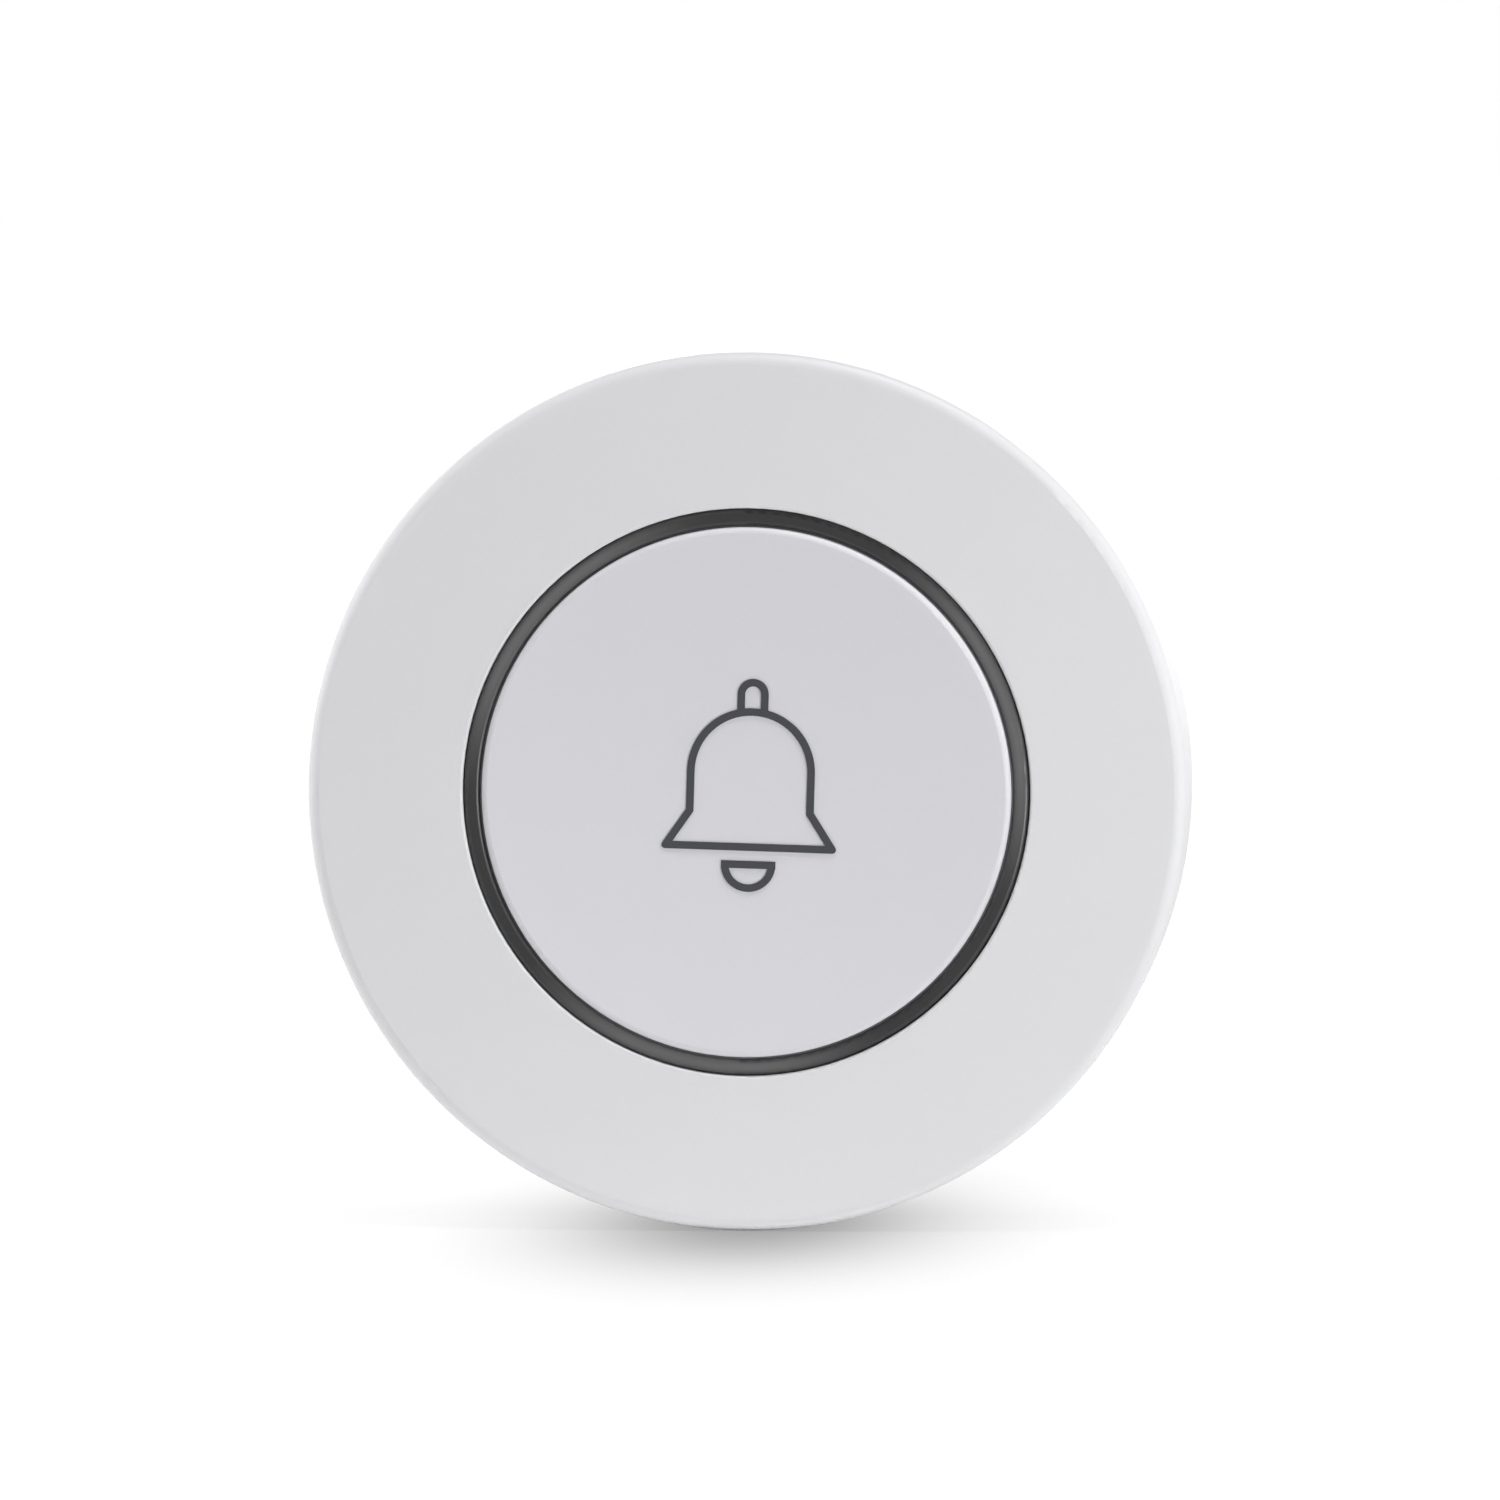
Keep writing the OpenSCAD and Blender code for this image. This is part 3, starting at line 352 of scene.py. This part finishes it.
from_axis = add(tree, "ShaderNodeVectorMath", {0: flat}, operation="LENGTH").outputs["Value"]
bare = ramp(tree, from_axis, EDGE_FROM * MM, EDGE_TO * MM, 0.0, 1.0)
skin = tree.nodes["skin"].outputs
resist = mixed(tree, track, skin["Colour"], (0.03, 0.2, 0.075, 1))
board_colour = mixed(tree, bare, resist, (0.42, 0.36, 0.2, 1))
proud = maths(tree, "MULTIPLY", track, TRACK_HEIGHT)
tree.links.new(board_colour, tree.nodes["Principled BSDF"].inputs["Base Color"])
tree.links.new(maths(tree, "ADD", skin["Height"], proud), tree.nodes["relief"].inputs["Height"])
finish_node("circuit_board", board_laminate)

# Radio chip: black moulded epoxy with bent tinned legs, on the board's back beside the cell's well.
# A round laser mark in one corner shows its first leg.
CHIP_ANGLE, CHIP_OUT = 230, 16.7
MARK_OUT, MARK_ASIDE, MARK_RADIUS, MARK_BLUR = 1.35, 1.85, 0.25, 0.05
chip_resin = plastic("chip_resin", (0.018, 0.018, 0.019), roughness=0.5, grain=14000.0, drift=0.1, bump=0.3,
                     specular=0.4)
tree = chip_resin.node_tree
x, _, z = placed(np.array([[MARK_OUT, MARK_ASIDE, 0.0]]), CHIP_ANGLE, CHIP_OUT, height=0)[0]
to_mark = add(tree, "ShaderNodeVectorMath", {0: flattened(tree), 1: (x, 0, z)}, operation="DISTANCE")
mark = ramp(tree, to_mark.outputs["Value"], MARK_RADIUS * MM, (MARK_RADIUS + MARK_BLUR) * MM, 1.0, 0.0)
chip_colour = mixed(tree, mark, tree.nodes["skin"].outputs["Colour"], (0.12, 0.12, 0.12, 1))
tree.links.new(chip_colour, tree.nodes["Principled BSDF"].inputs["Base Color"])
finish_node("radio_chip", chip_resin)
tinned = metal("tinned_metal", (0.68, 0.68, 0.67), roughness=0.3, lines=(3000.0, 3000.0, 3000.0))
finish_node("chip_legs", tinned)

# Frequency crystal: a flat plated box beside the radio chip that holds a sliver of quartz.
# A thin lid with rounded edges is seam-welded onto its back.
CRYSTAL_ANGLE, CRYSTAL_BACK = 206, 6.15
LID_WIDTH, LID_LENGTH, LID_THICK, LID_ROUNDING = 2.0, 2.8, 0.12, 0.04


def blocks(centres, sizes):
    """Upright blocks: the corners of a unit cube times each size, set on each centre."""
    corner = np.indices((2, 2, 2)).reshape(3, -1).T - 0.5
    points = centres[:, None] + sizes[:, None] * corner
    sides = np.array([[0, 1, 3, 2], [4, 6, 7, 5], [0, 4, 5, 1], [2, 3, 7, 6], [0, 2, 6, 4], [1, 5, 7, 3]])
    return points.reshape(-1, 3), copied(sides, len(centres), 8)


def rounded(made, width):
    """Rounds the edges of a piece by a width in millimetres, in three steps."""
    rounding = made.modifiers.new("rounding", "BEVEL")
    rounding.width = width * MM
    rounding.segments = 3


crystal_can = metal("crystal_can", (0.66, 0.64, 0.58), roughness=0.24, lines=(800.0, 9000.0, 800.0))
finish_node("crystal", crystal_can)
shape, faces = blocks(np.zeros((1, 3)), np.array([[LID_WIDTH, LID_LENGTH, LID_THICK]]))
points = placed(shape, CRYSTAL_ANGLE, CHIP_OUT, CRYSTAL_BACK)
lid = new_piece("crystal_lid", points, faces.tolist(), crystal_can, "housing")
rounded(lid, LID_ROUNDING)

# Chip resistors and capacitors: small ceramic blocks on the board's front, in one ring with the LEDs.
# Tinned metal caps wrap both ends, and a fillet of solder ties each cap to its pad.
CHIP_ROW, BOARD_FRONT = 21.07, 8.1
CHIP_LENGTH, CHIP_WIDTH = 2.0, 1.25
CAP_LENGTH, CAP_SKIN, CAP_ROUNDING = 0.42, 0.03, 0.06
RESISTOR_ANGLES, RESISTOR_HEIGHT = [64, 73, 82, 91, 184, 193], 0.5
CAPACITOR_ANGLES, CAPACITOR_HEIGHT = [100, 110, 120, 129], 0.8


def chip_caps(name, degrees, height):
    """The two caps of each chip in a row, standing on the board, a skin's thickness larger than its ends."""
    reach = CHIP_LENGTH / 2 + CAP_SKIN - CAP_LENGTH / 2
    tall = height + CAP_SKIN
    centres = np.array([[-reach, 0, tall / 2], [reach, 0, tall / 2]])
    shape, faces = blocks(centres, np.array([[CAP_LENGTH, CHIP_WIDTH + 2 * CAP_SKIN, tall]] * 2))
    points = placed(shape, degrees, CHIP_ROW, BOARD_FRONT)
    faces = copied(faces, len(degrees), len(shape)).tolist()
    rounded(new_piece(name, points, faces, tinned, "housing"), CAP_ROUNDING)


finish_node("chip_resistors", plastic("resistor_ceramic", (0.03, 0.03, 0.034), roughness=0.35, drift=0.2))
finish_node("chip_capacitors", plastic("capacitor_ceramic", (0.38, 0.27, 0.17), roughness=0.45, drift=0.3))
chip_caps("resistor_caps", RESISTOR_ANGLES, RESISTOR_HEIGHT)
chip_caps("capacitor_caps", CAPACITOR_ANGLES, CAPACITOR_HEIGHT)

# LEDs: three white ceramic packages with a round window of yellow phosphor resin, soldered under
# the light ring's legs. They are off in daylight, so the window only shows its own colour.
LED_ANGLE, LED_FRONT = 20, 8.9
WINDOW_RADIUS, WINDOW_RISE, WINDOW_ROOT = 1.0, 0.15, 0.045
finish_node("ring_leds", plastic("led_ceramic", (0.78, 0.78, 0.74), roughness=0.4, drift=0.05))
slope = np.linspace(0, 1, 9)[1:]
window_r = WINDOW_RADIUS * np.concatenate([[0], slope, [1, 0]])
window_h = np.concatenate([[WINDOW_RISE], WINDOW_RISE * (1 - slope ** 2), [-WINDOW_ROOT, -WINDOW_ROOT]])
shape, faces = turned_solid(window_r, window_h, sides=40, copies=3)
points = placed(shape, [LED_ANGLE, LED_ANGLE + 120, LED_ANGLE + 240], CHIP_ROW, LED_FRONT)
phosphor = plastic("led_resin", (0.8, 0.52, 0.05), roughness=0.3, drift=0.1)
new_piece("led_windows", points, faces, phosphor, "housing")

# Coiled antenna: enamelled copper wire wound into a close spring, lying along the board's edge.
# Both ends run straight down to the board and are soldered there.
ANTENNA_ANGLE, ANTENNA_OUT, ANTENNA_HEIGHT = 325, 24.22, 9.65
ANTENNA_RADIUS, ANTENNA_WIRE, ANTENNA_TURNS, ANTENNA_LENGTH = 1.2, 0.6, 11.5, 12.5
WINDING_STEPS, END_STEPS, END_GAP = 500, 12, 0.05


def wire_tube(path, outward, wire, copies=1):
    """Round wire along a path, closed by one flat face at each end, with faces for a number of copies.

    Each step of the path gets a ring of points, spread between outward and the cross product of it and the
    path. Outward is a direction for each step that is nearly square to the path.
    """
    sides = 14
    along = np.gradient(path, axis=0)
    along /= np.linalg.norm(along, axis=1, keepdims=True)
    outward = outward - along * np.sum(along * outward, 1, keepdims=True)
    outward /= np.linalg.norm(outward, axis=1, keepdims=True)
    beside = np.cross(along, outward)
    turn = np.linspace(0, 2 * np.pi, sides, endpoint=False)[:, None]
    rings = np.cos(turn) * outward[:, None] + np.sin(turn) * beside[:, None]
    points = (path[:, None] + wire / 2 * rings).reshape(-1, 3)
    size = len(points)
    walls = grid_faces(len(path), sides, False)
    ends = np.stack([np.arange(sides)[::-1], np.arange(size - sides, size)])
    return points, copied(walls, copies, size).tolist() + copied(ends, copies, size).tolist()


turns = np.linspace(0, ANTENNA_TURNS, WINDING_STEPS)
spin = 2 * np.pi * turns
still = np.zeros(WINDING_STEPS)
outward = np.stack([np.cos(spin), still, np.sin(spin)], 1)
advance = (ANTENNA_LENGTH - ANTENNA_WIRE) * (turns / ANTENNA_TURNS - 0.5)
winding = ANTENNA_RADIUS * outward + np.stack([still, advance, still], 1)
drop = np.linspace(ANTENNA_HEIGHT - BOARD_FRONT, END_GAP, END_STEPS)[:, None] * np.array([0, 0, -1.0])
path = np.concatenate([winding[0] + drop, winding, winding[-1] + drop[::-1]])
first, last = np.repeat(outward[:1], END_STEPS, 0), np.repeat(outward[-1:], END_STEPS, 0)
shape, faces = wire_tube(path, np.concatenate([first, outward, last]), ANTENNA_WIRE)
points = placed(shape, ANTENNA_ANGLE, ANTENNA_OUT, ANTENNA_HEIGHT)
antenna_copper = metal("antenna_copper", (0.62, 0.27, 0.11), roughness=0.25, lines=(2000.0, 2000.0, 2000.0))
antenna = new_piece("antenna_winding", points, faces, antenna_copper, "housing", crease=60)
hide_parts("antenna_coil")

# Push switch: a black plastic base riveted under a stamped steel cover, with four soldered feet.
# The plunger stands on a soft rubber dome that gives the press its feel and pushes the plunger back.
DOME_FOOT, DOME_TOP, DOME_BACK, DOME_FRONT = 2.1, 0.85, 8.7, 10.15
DOME_WALL, DOME_CROWN, DOME_KEEP = 0.35, 0.45, 0.448
BRIM_WIDTH, BRIM_TOP, BRIM_UNDER, BRIM_MIDDLE, BRIM_ROUND = 0.15, 0.25, 0.22, 0.15, 0.03
TOP_BEVEL_IN, TOP_BEVEL_DOWN = 0.12, 0.1
finish_node("switch_base", black_plastic)
switch_steel = metal("switch_steel", (0.62, 0.62, 0.61), roughness=0.3, lines=(700.0, 9000.0, 9000.0))
finish_node("switch_cover", switch_steel)
finish_node("switch_plunger", plastic("plunger_plastic", (0.035, 0.035, 0.037), roughness=0.36))
finish_node("switch_terminals", tinned)
rise = np.linspace(0, 1, 24)
bend = rise * rise * (3 - 2 * rise)
outer_r = DOME_TOP + (DOME_FOOT - BRIM_WIDTH - DOME_TOP) * bend
outer_h = np.linspace(DOME_FRONT - TOP_BEVEL_DOWN, DOME_BACK + BRIM_TOP, 24)
brim_r = DOME_FOOT - BRIM_ROUND * np.array([1, 0, 1])
brim_h = DOME_BACK + np.array([BRIM_UNDER, BRIM_MIDDLE, 0])
inner_r = outer_r[::-1] - DOME_WALL
inner_h = np.linspace(DOME_BACK, DOME_FRONT - DOME_CROWN, 24)
dome_r = np.concatenate([[0, DOME_TOP - TOP_BEVEL_IN], outer_r, brim_r, inner_r, [0]])
dome_h = np.concatenate([[DOME_FRONT, DOME_FRONT], outer_h, brim_h, inner_h, [DOME_FRONT - DOME_CROWN]])
shape, faces = turned_solid(dome_r, dome_h, sides=64)
points = placed(shape, degrees=0, out=0, height=0)
dome_rubber = plastic("dome_rubber", (0.2, 0.2, 0.21), roughness=0.6, grain=5000.0, bump=0.15, specular=0.35)
dome = new_piece("dome_bell", points, faces, dome_rubber, "housing", crease=50)
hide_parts("switch_dome")
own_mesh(dome)

# Solder: bright fillets of tin that creep up the switch's feet, the chips' caps and the antenna's ends.
# Each is a low mound, highest in the middle and running out flat on its pad.
FOOT_OUT, FOOT_ASIDE = 4.25, 2.07
PAD_OUT = CHIP_LENGTH / 2 + 0.1
ANTENNA_END = (ANTENNA_LENGTH - ANTENNA_WIRE) / 2
mound_r = np.concatenate([[0], slope, [0]])
mound_h = np.concatenate([[1], (1 - slope) ** 1.6, [0]])


def solder(name, degrees, out, aside, radius, height):
    """Solder mounds on the board's front: one at each angle, out from the axis and aside from that line."""
    shape, faces = turned_solid(radius * mound_r, height * mound_h, sides=20, copies=np.size(degrees))
    points = placed(shape + np.array([0, aside, 0]), degrees, out, BOARD_FRONT)
    new_piece(name, points, faces, tinned, "housing")


chip_angles = RESISTOR_ANGLES + CAPACITOR_ANGLES
solder("foot_solder", [0, 180], FOOT_OUT, FOOT_ASIDE, radius=0.75, height=0.4)
solder("foot_solder_across", [0, 180], FOOT_OUT, -FOOT_ASIDE, radius=0.75, height=0.4)
solder("chip_solder_inner", chip_angles, CHIP_ROW - PAD_OUT, 0, radius=0.55, height=0.3)
solder("chip_solder_outer", chip_angles, CHIP_ROW + PAD_OUT, 0, radius=0.55, height=0.3)
solder("antenna_solder", ANTENNA_ANGLE, ANTENNA_OUT + ANTENNA_RADIUS, -ANTENNA_END, radius=0.7, height=0.6)
solder("antenna_solder_across", ANTENNA_ANGLE, ANTENNA_OUT - ANTENNA_RADIUS, ANTENNA_END,
       radius=0.7, height=0.6)

# Spring frame: a milky plastic plate over the board that carries the springs on three pins.
# Its arms end in eyelets, through which the board screws hold both to the front shell.
frame_plastic = plastic("frame_plastic", (0.74, 0.74, 0.71), roughness=0.42, drift=0.06, bump=0.15)
finish_node("spring_frame", frame_plastic)

# Return springs: three coils of drawn spring steel that push the button back out.
# The wire lies flat for a moment at both ends, so that each spring stands square on its seat.
SPRING_ANGLE, SPRING_OUT, SPRING_BACK, SPRING_LENGTH = 50, 12.0, 9.45, 3.0
SPRING_RADIUS, SPRING_WIRE, SPRING_TURNS, SPRING_STEPS = 1.925, 0.35, 3, 200
share = np.linspace(0, 1, SPRING_STEPS)
spin = 2 * np.pi * SPRING_TURNS * share
still = np.zeros(SPRING_STEPS)
climb = share - np.sin(2 * np.pi * share) / (2 * np.pi)
outward = np.stack([np.cos(spin), np.sin(spin), still], 1)
middle = np.stack([still, still, SPRING_WIRE / 2 + (SPRING_LENGTH - SPRING_WIRE) * climb], 1)
shape, faces = wire_tube(middle + SPRING_RADIUS * outward, outward, SPRING_WIRE, copies=3)
points = placed(shape, [SPRING_ANGLE, SPRING_ANGLE + 120, SPRING_ANGLE + 240], SPRING_OUT, SPRING_BACK)
spring_steel = metal("spring_steel", (0.52, 0.52, 0.53), roughness=0.26, lines=(3000.0, 3000.0, 3000.0))
springs = new_piece("spring_coils", points, faces, spring_steel, "housing", crease=60)
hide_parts("return_springs")
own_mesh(springs)

# Screws: zinc-plated steel with cross recesses. Three short ones hold the board and the spring frame
# to the front shell, and three countersunk ones hold the rear cover.
screw_steel = metal("screw_steel", (0.6, 0.6, 0.61), roughness=0.27, lines=(4000.0, 900.0, 4000.0))
finish_node("board_screws", screw_steel)
finish_node("cover_screws", screw_steel)

# Front shell: side wall and front face in one moulding of pale grey plastic, with a satin face.
# Bosses behind the face take the screws of the board and of the rear cover.
shell_plastic = plastic("shell_plastic", (0.703, 0.703, 0.717), roughness=0.52, drift=0.015, specular=0.4)
finish_node("front_shell", shell_plastic)

# Light ring: a smoked diffuser pressed into the front opening. Three legs lead down to the LEDs, and where
# they meet the ring, the smoked plastic is thinner and looks lighter. For that, the angle about the axis is
# folded into one third of a turn with a leg in its middle.
RING_MIDDLE, RING_HALF, EDGE_SHARE = 20.32, 0.6, 0.4
LIGHT_ANGLE, LIGHT_FULL, LIGHT_NONE = LED_ANGLE + 1, 12, 44
THIRD = math.radians(120)
smoked = plastic("smoked_plastic", (0.014, 0.014, 0.015), roughness=0.34, drift=0.1, specular=0.45)
tree = smoked.node_tree
flat = flattened(tree)
apart = add(tree, "ShaderNodeSeparateXYZ", {0: flat}).outputs
turn = maths(tree, "SUBTRACT", maths(tree, "ARCTAN2", apart["Z"], apart["X"]), math.radians(LIGHT_ANGLE))
folded = maths(tree, "FLOORED_MODULO", maths(tree, "ADD", turn, THIRD / 2), THIRD)
off_light = maths(tree, "ABSOLUTE", maths(tree, "SUBTRACT", folded, THIRD / 2))
lit = ramp(tree, off_light, math.radians(LIGHT_FULL), math.radians(LIGHT_NONE), 1.0, 0.0)
from_axis = add(tree, "ShaderNodeVectorMath", {0: flat}, operation="LENGTH").outputs["Value"]
from_middle = maths(tree, "ABSOLUTE", maths(tree, "SUBTRACT", from_axis, RING_MIDDLE * MM))
crown = ramp(tree, from_middle, 0.0, RING_HALF * MM, 1.0, 0.6)
thin = ramp(tree, from_middle, EDGE_SHARE * RING_HALF * MM, RING_HALF * MM, 0.0, 1.0)
smoke = mixed(tree, thin, tree.nodes["skin"].outputs["Colour"], (0.075, 0.075, 0.077, 1))
ring_colour = mixed(tree, maths(tree, "MULTIPLY", lit, crown), smoke, (0.118, 0.118, 0.12, 1))
tree.links.new(ring_colour, tree.nodes["Principled BSDF"].inputs["Base Color"])
finish_node("light_ring", smoked)

# Dust lip: a thin soft band of grey silicone on the light ring's inner side, almost as high as the ring.
# It closes most of the running gap round the button, so that no light and little dust gets in.
LIP_INNER, LIP_OUTER, LIP_BACK, LIP_FRONT = 19.625, 19.73, 13.1, 13.72
lip_r, lip_h = band_profile(LIP_INNER, LIP_OUTER, LIP_BACK, LIP_FRONT, power=0.4, power_up=0.4)
points, faces = turned_ring(lip_r, lip_h, sides=240)
# Its grey is partly the silicone's own tone and partly painted light: it is set lighter to make up for the
# shade in the gap.
lip_silicone_and_painted_fill = plastic("lip_silicone_and_painted_fill", (0.11, 0.11, 0.112), roughness=0.6, grain=4000.0, specular=0.35)
new_piece("dust_lip", points, faces, lip_silicone_and_painted_fill, "housing")

# Push button: a pale grey moulded disc with a shallow hollow and a rounded rim.
# Three hooks on its skirt snap in under the light ring, and the return springs hold it up against that.
button_plastic = plastic("button_plastic", (0.664, 0.657, 0.693), roughness=0.52, drift=0.015, specular=0.4)
finish_node("button_cap", button_plastic)

# Bell symbol: a plain pictogram in lines of one width, in the middle of the button's face.
# It is dark grey ink that a soft pad prints into the hollow, and it dries matte.
print_ink = plastic("print_ink", (0.045, 0.047, 0.053), roughness=0.55, grain=6000.0, drift=0.15,
                    specular=0.35)
finish_node("bell_print", print_ink)

# Studio: a white table that the disc stands on by its rim, a white surround and soft, unseen lamps.
# The table throws light back as white paper does, but the camera sees an even glow in its place, with a soft
# painted shadow about the disc's foot. It leans by the small roll that the disc has in the photograph.
ROLL = math.radians(1.7)
UP = Vector((-math.sin(ROLL), 0, math.cos(ROLL)))
SIDE = Vector((math.cos(ROLL), 0, math.sin(ROLL)))
BACK = Vector((0, 1, 0))
DISC_RADIUS, DISC_MIDDLE, TABLE_HALF = 32.5 * MM, 7.0 * MM, 4.0
TABLE_WHITE, TABLE_SEEN, TABLE_GLOW = 0.85, 0.06, 0.97
# Painted shadow on the table: how deep it is, and how far it spreads across and along, in millimetres.
SHADE_DEPTH, SHADE_ACROSS, SHADE_ALONG = 0.66, 14.5, 38.0
SUN_SPREAD = math.radians(20)


def seen_rays(tree):
    """1 for rays that show a surface directly, in a reflection or through glass, and 0 for the others."""
    path = add(tree, "ShaderNodeLightPath").outputs
    seen = maths(tree, "MAXIMUM", path["Is Camera Ray"], path["Is Glossy Ray"])
    return maths(tree, "MAXIMUM", seen, path["Is Transmission Ray"])


def direction(azimuth, elevation):
    """Direction from the disc at an azimuth, to the right of its front, and an elevation, in degrees."""
    turn, lift = math.radians(azimuth), math.radians(elevation)
    return Vector((math.sin(turn) * math.cos(lift), -math.cos(turn) * math.cos(lift), math.sin(lift)))


def lamp(name, kind, azimuth, elevation, distance, power):
    """A lamp at an azimuth and elevation seen from the disc, turned towards it and itself not shown."""
    away = direction(azimuth, elevation)
    light = bpy.data.lights.new(name, kind)
    light.energy = power
    made = bpy.data.objects.new(name, light)
    made.location = away * distance
    made.rotation_euler = away.to_track_quat("Z", "Y").to_euler()
    made.visible_camera = False
    bpy.context.scene.collection.objects.link(made)
    return light


corners = [(-UP * DISC_RADIUS + SIDE * TABLE_HALF * u + BACK * TABLE_HALF * v)[:]
           for u, v in ((-1, -1), (1, -1), (1, 1), (-1, 1))]
mesh = bpy.data.meshes.new("table")
mesh.from_pydata(corners, [], [(0, 1, 2, 3)])
table = bpy.data.objects.new("table", mesh)
bpy.context.scene.collection.objects.link(table)

paper = bpy.data.materials.new("white_table")
paper.use_nodes = True
tree = paper.node_tree
tree.nodes.clear()
place = add(tree, "ShaderNodeTexCoord").outputs["Object"]
# Painted shadow: a bell curve about the disc's foot that is taken off the glow the camera sees.
foot = -UP * DISC_RADIUS - BACK * DISC_MIDDLE
from_foot = add(tree, "ShaderNodeVectorMath", {0: place, 1: foot[:]}, operation="SUBTRACT").outputs[0]
spread = (1 / (SHADE_ACROSS * MM), 1 / (SHADE_ALONG * MM), 1 / (SHADE_ACROSS * MM))
scaled = add(tree, "ShaderNodeVectorMath", {0: from_foot, 1: spread}, operation="MULTIPLY").outputs[0]
square = add(tree, "ShaderNodeVectorMath", {0: scaled, 1: scaled}, operation="DOT_PRODUCT").outputs["Value"]
painted_shadow = maths(tree, "EXPONENT", maths(tree, "MULTIPLY", square, -1.0))
shaded = maths(tree, "SUBTRACT", TABLE_GLOW, maths(tree, "MULTIPLY", painted_shadow, SHADE_DEPTH))
seen = seen_rays(tree)
glow = add(tree, "ShaderNodeEmission", {"Strength": maths(tree, "MULTIPLY", shaded, seen)})
white = add(tree, "ShaderNodeMapRange", {"Value": seen, "To Min": TABLE_WHITE, "To Max": TABLE_SEEN})
matte = add(tree, "ShaderNodeBsdfDiffuse", {"Color": white.outputs["Result"]})
both = add(tree, "ShaderNodeAddShader", {0: matte.outputs[0], 1: glow.outputs[0]})
add(tree, "ShaderNodeOutputMaterial", {"Surface": both.outputs[0]})
table.data.materials.append(paper)

world = bpy.data.worlds.new("studio_surround")
bpy.context.scene.world = world
world.use_nodes = True
tree = world.node_tree
tree.nodes.clear()
surround = add(tree, "ShaderNodeBackground", {"Color": (1, 1, 1, 1), "Strength": seen_rays(tree)})
add(tree, "ShaderNodeOutputWorld", {"Surface": surround.outputs[0]})

lamp("high_window", "SUN", azimuth=15, elevation=80, distance=1.0, power=1.35).angle = SUN_SPREAD
lamp("right_window", "SUN", azimuth=60, elevation=70, distance=1.0, power=1.1).angle = SUN_SPREAD
lamp("right_panel", "AREA", azimuth=75, elevation=15, distance=0.6, power=0.75).size = 0.3
lamp("left_panel", "AREA", azimuth=-80, elevation=20, distance=0.6, power=0.85).size = 0.4
lamp("left_rim", "AREA", azimuth=-96, elevation=10, distance=0.6, power=1.45).size = 0.2
lamp("front_spot", "AREA", azimuth=40, elevation=-2.5, distance=0.35, power=0.5).size = 0.03
lamp("back_panel", "AREA", azimuth=185, elevation=6, distance=0.9, power=4.5).size = 0.5

# Camera: a long lens a metre away, slightly right of the disc and slightly above it, upright with the table.
# The width that it frames at that distance sets the focal length. It aims a little above the disc's middle.
AZIMUTH, ELEVATION, DISTANCE = 3.7, 3.4, 1.0
TARGET = Vector((-0.25, -7.0, 2.74)) * MM
FRAME_WIDTH, SENSOR_WIDTH = 111.45 * MM, 36.0
towards = direction(AZIMUTH, ELEVATION)
across = UP.cross(towards).normalized()
upright = towards.cross(across)
location = TARGET + towards * DISTANCE
lens = bpy.data.cameras.new("camera")
lens.sensor_width = SENSOR_WIDTH
lens.lens = SENSOR_WIDTH * DISTANCE / FRAME_WIDTH
camera = bpy.data.objects.new("camera", lens)
camera.matrix_world = ((*across, 0), (*upright, 0), (*towards, 0), (*location, 1))
bpy.context.scene.collection.objects.link(camera)
bpy.context.scene.camera = camera
bpy.context.scene.view_settings.view_transform = "Standard"
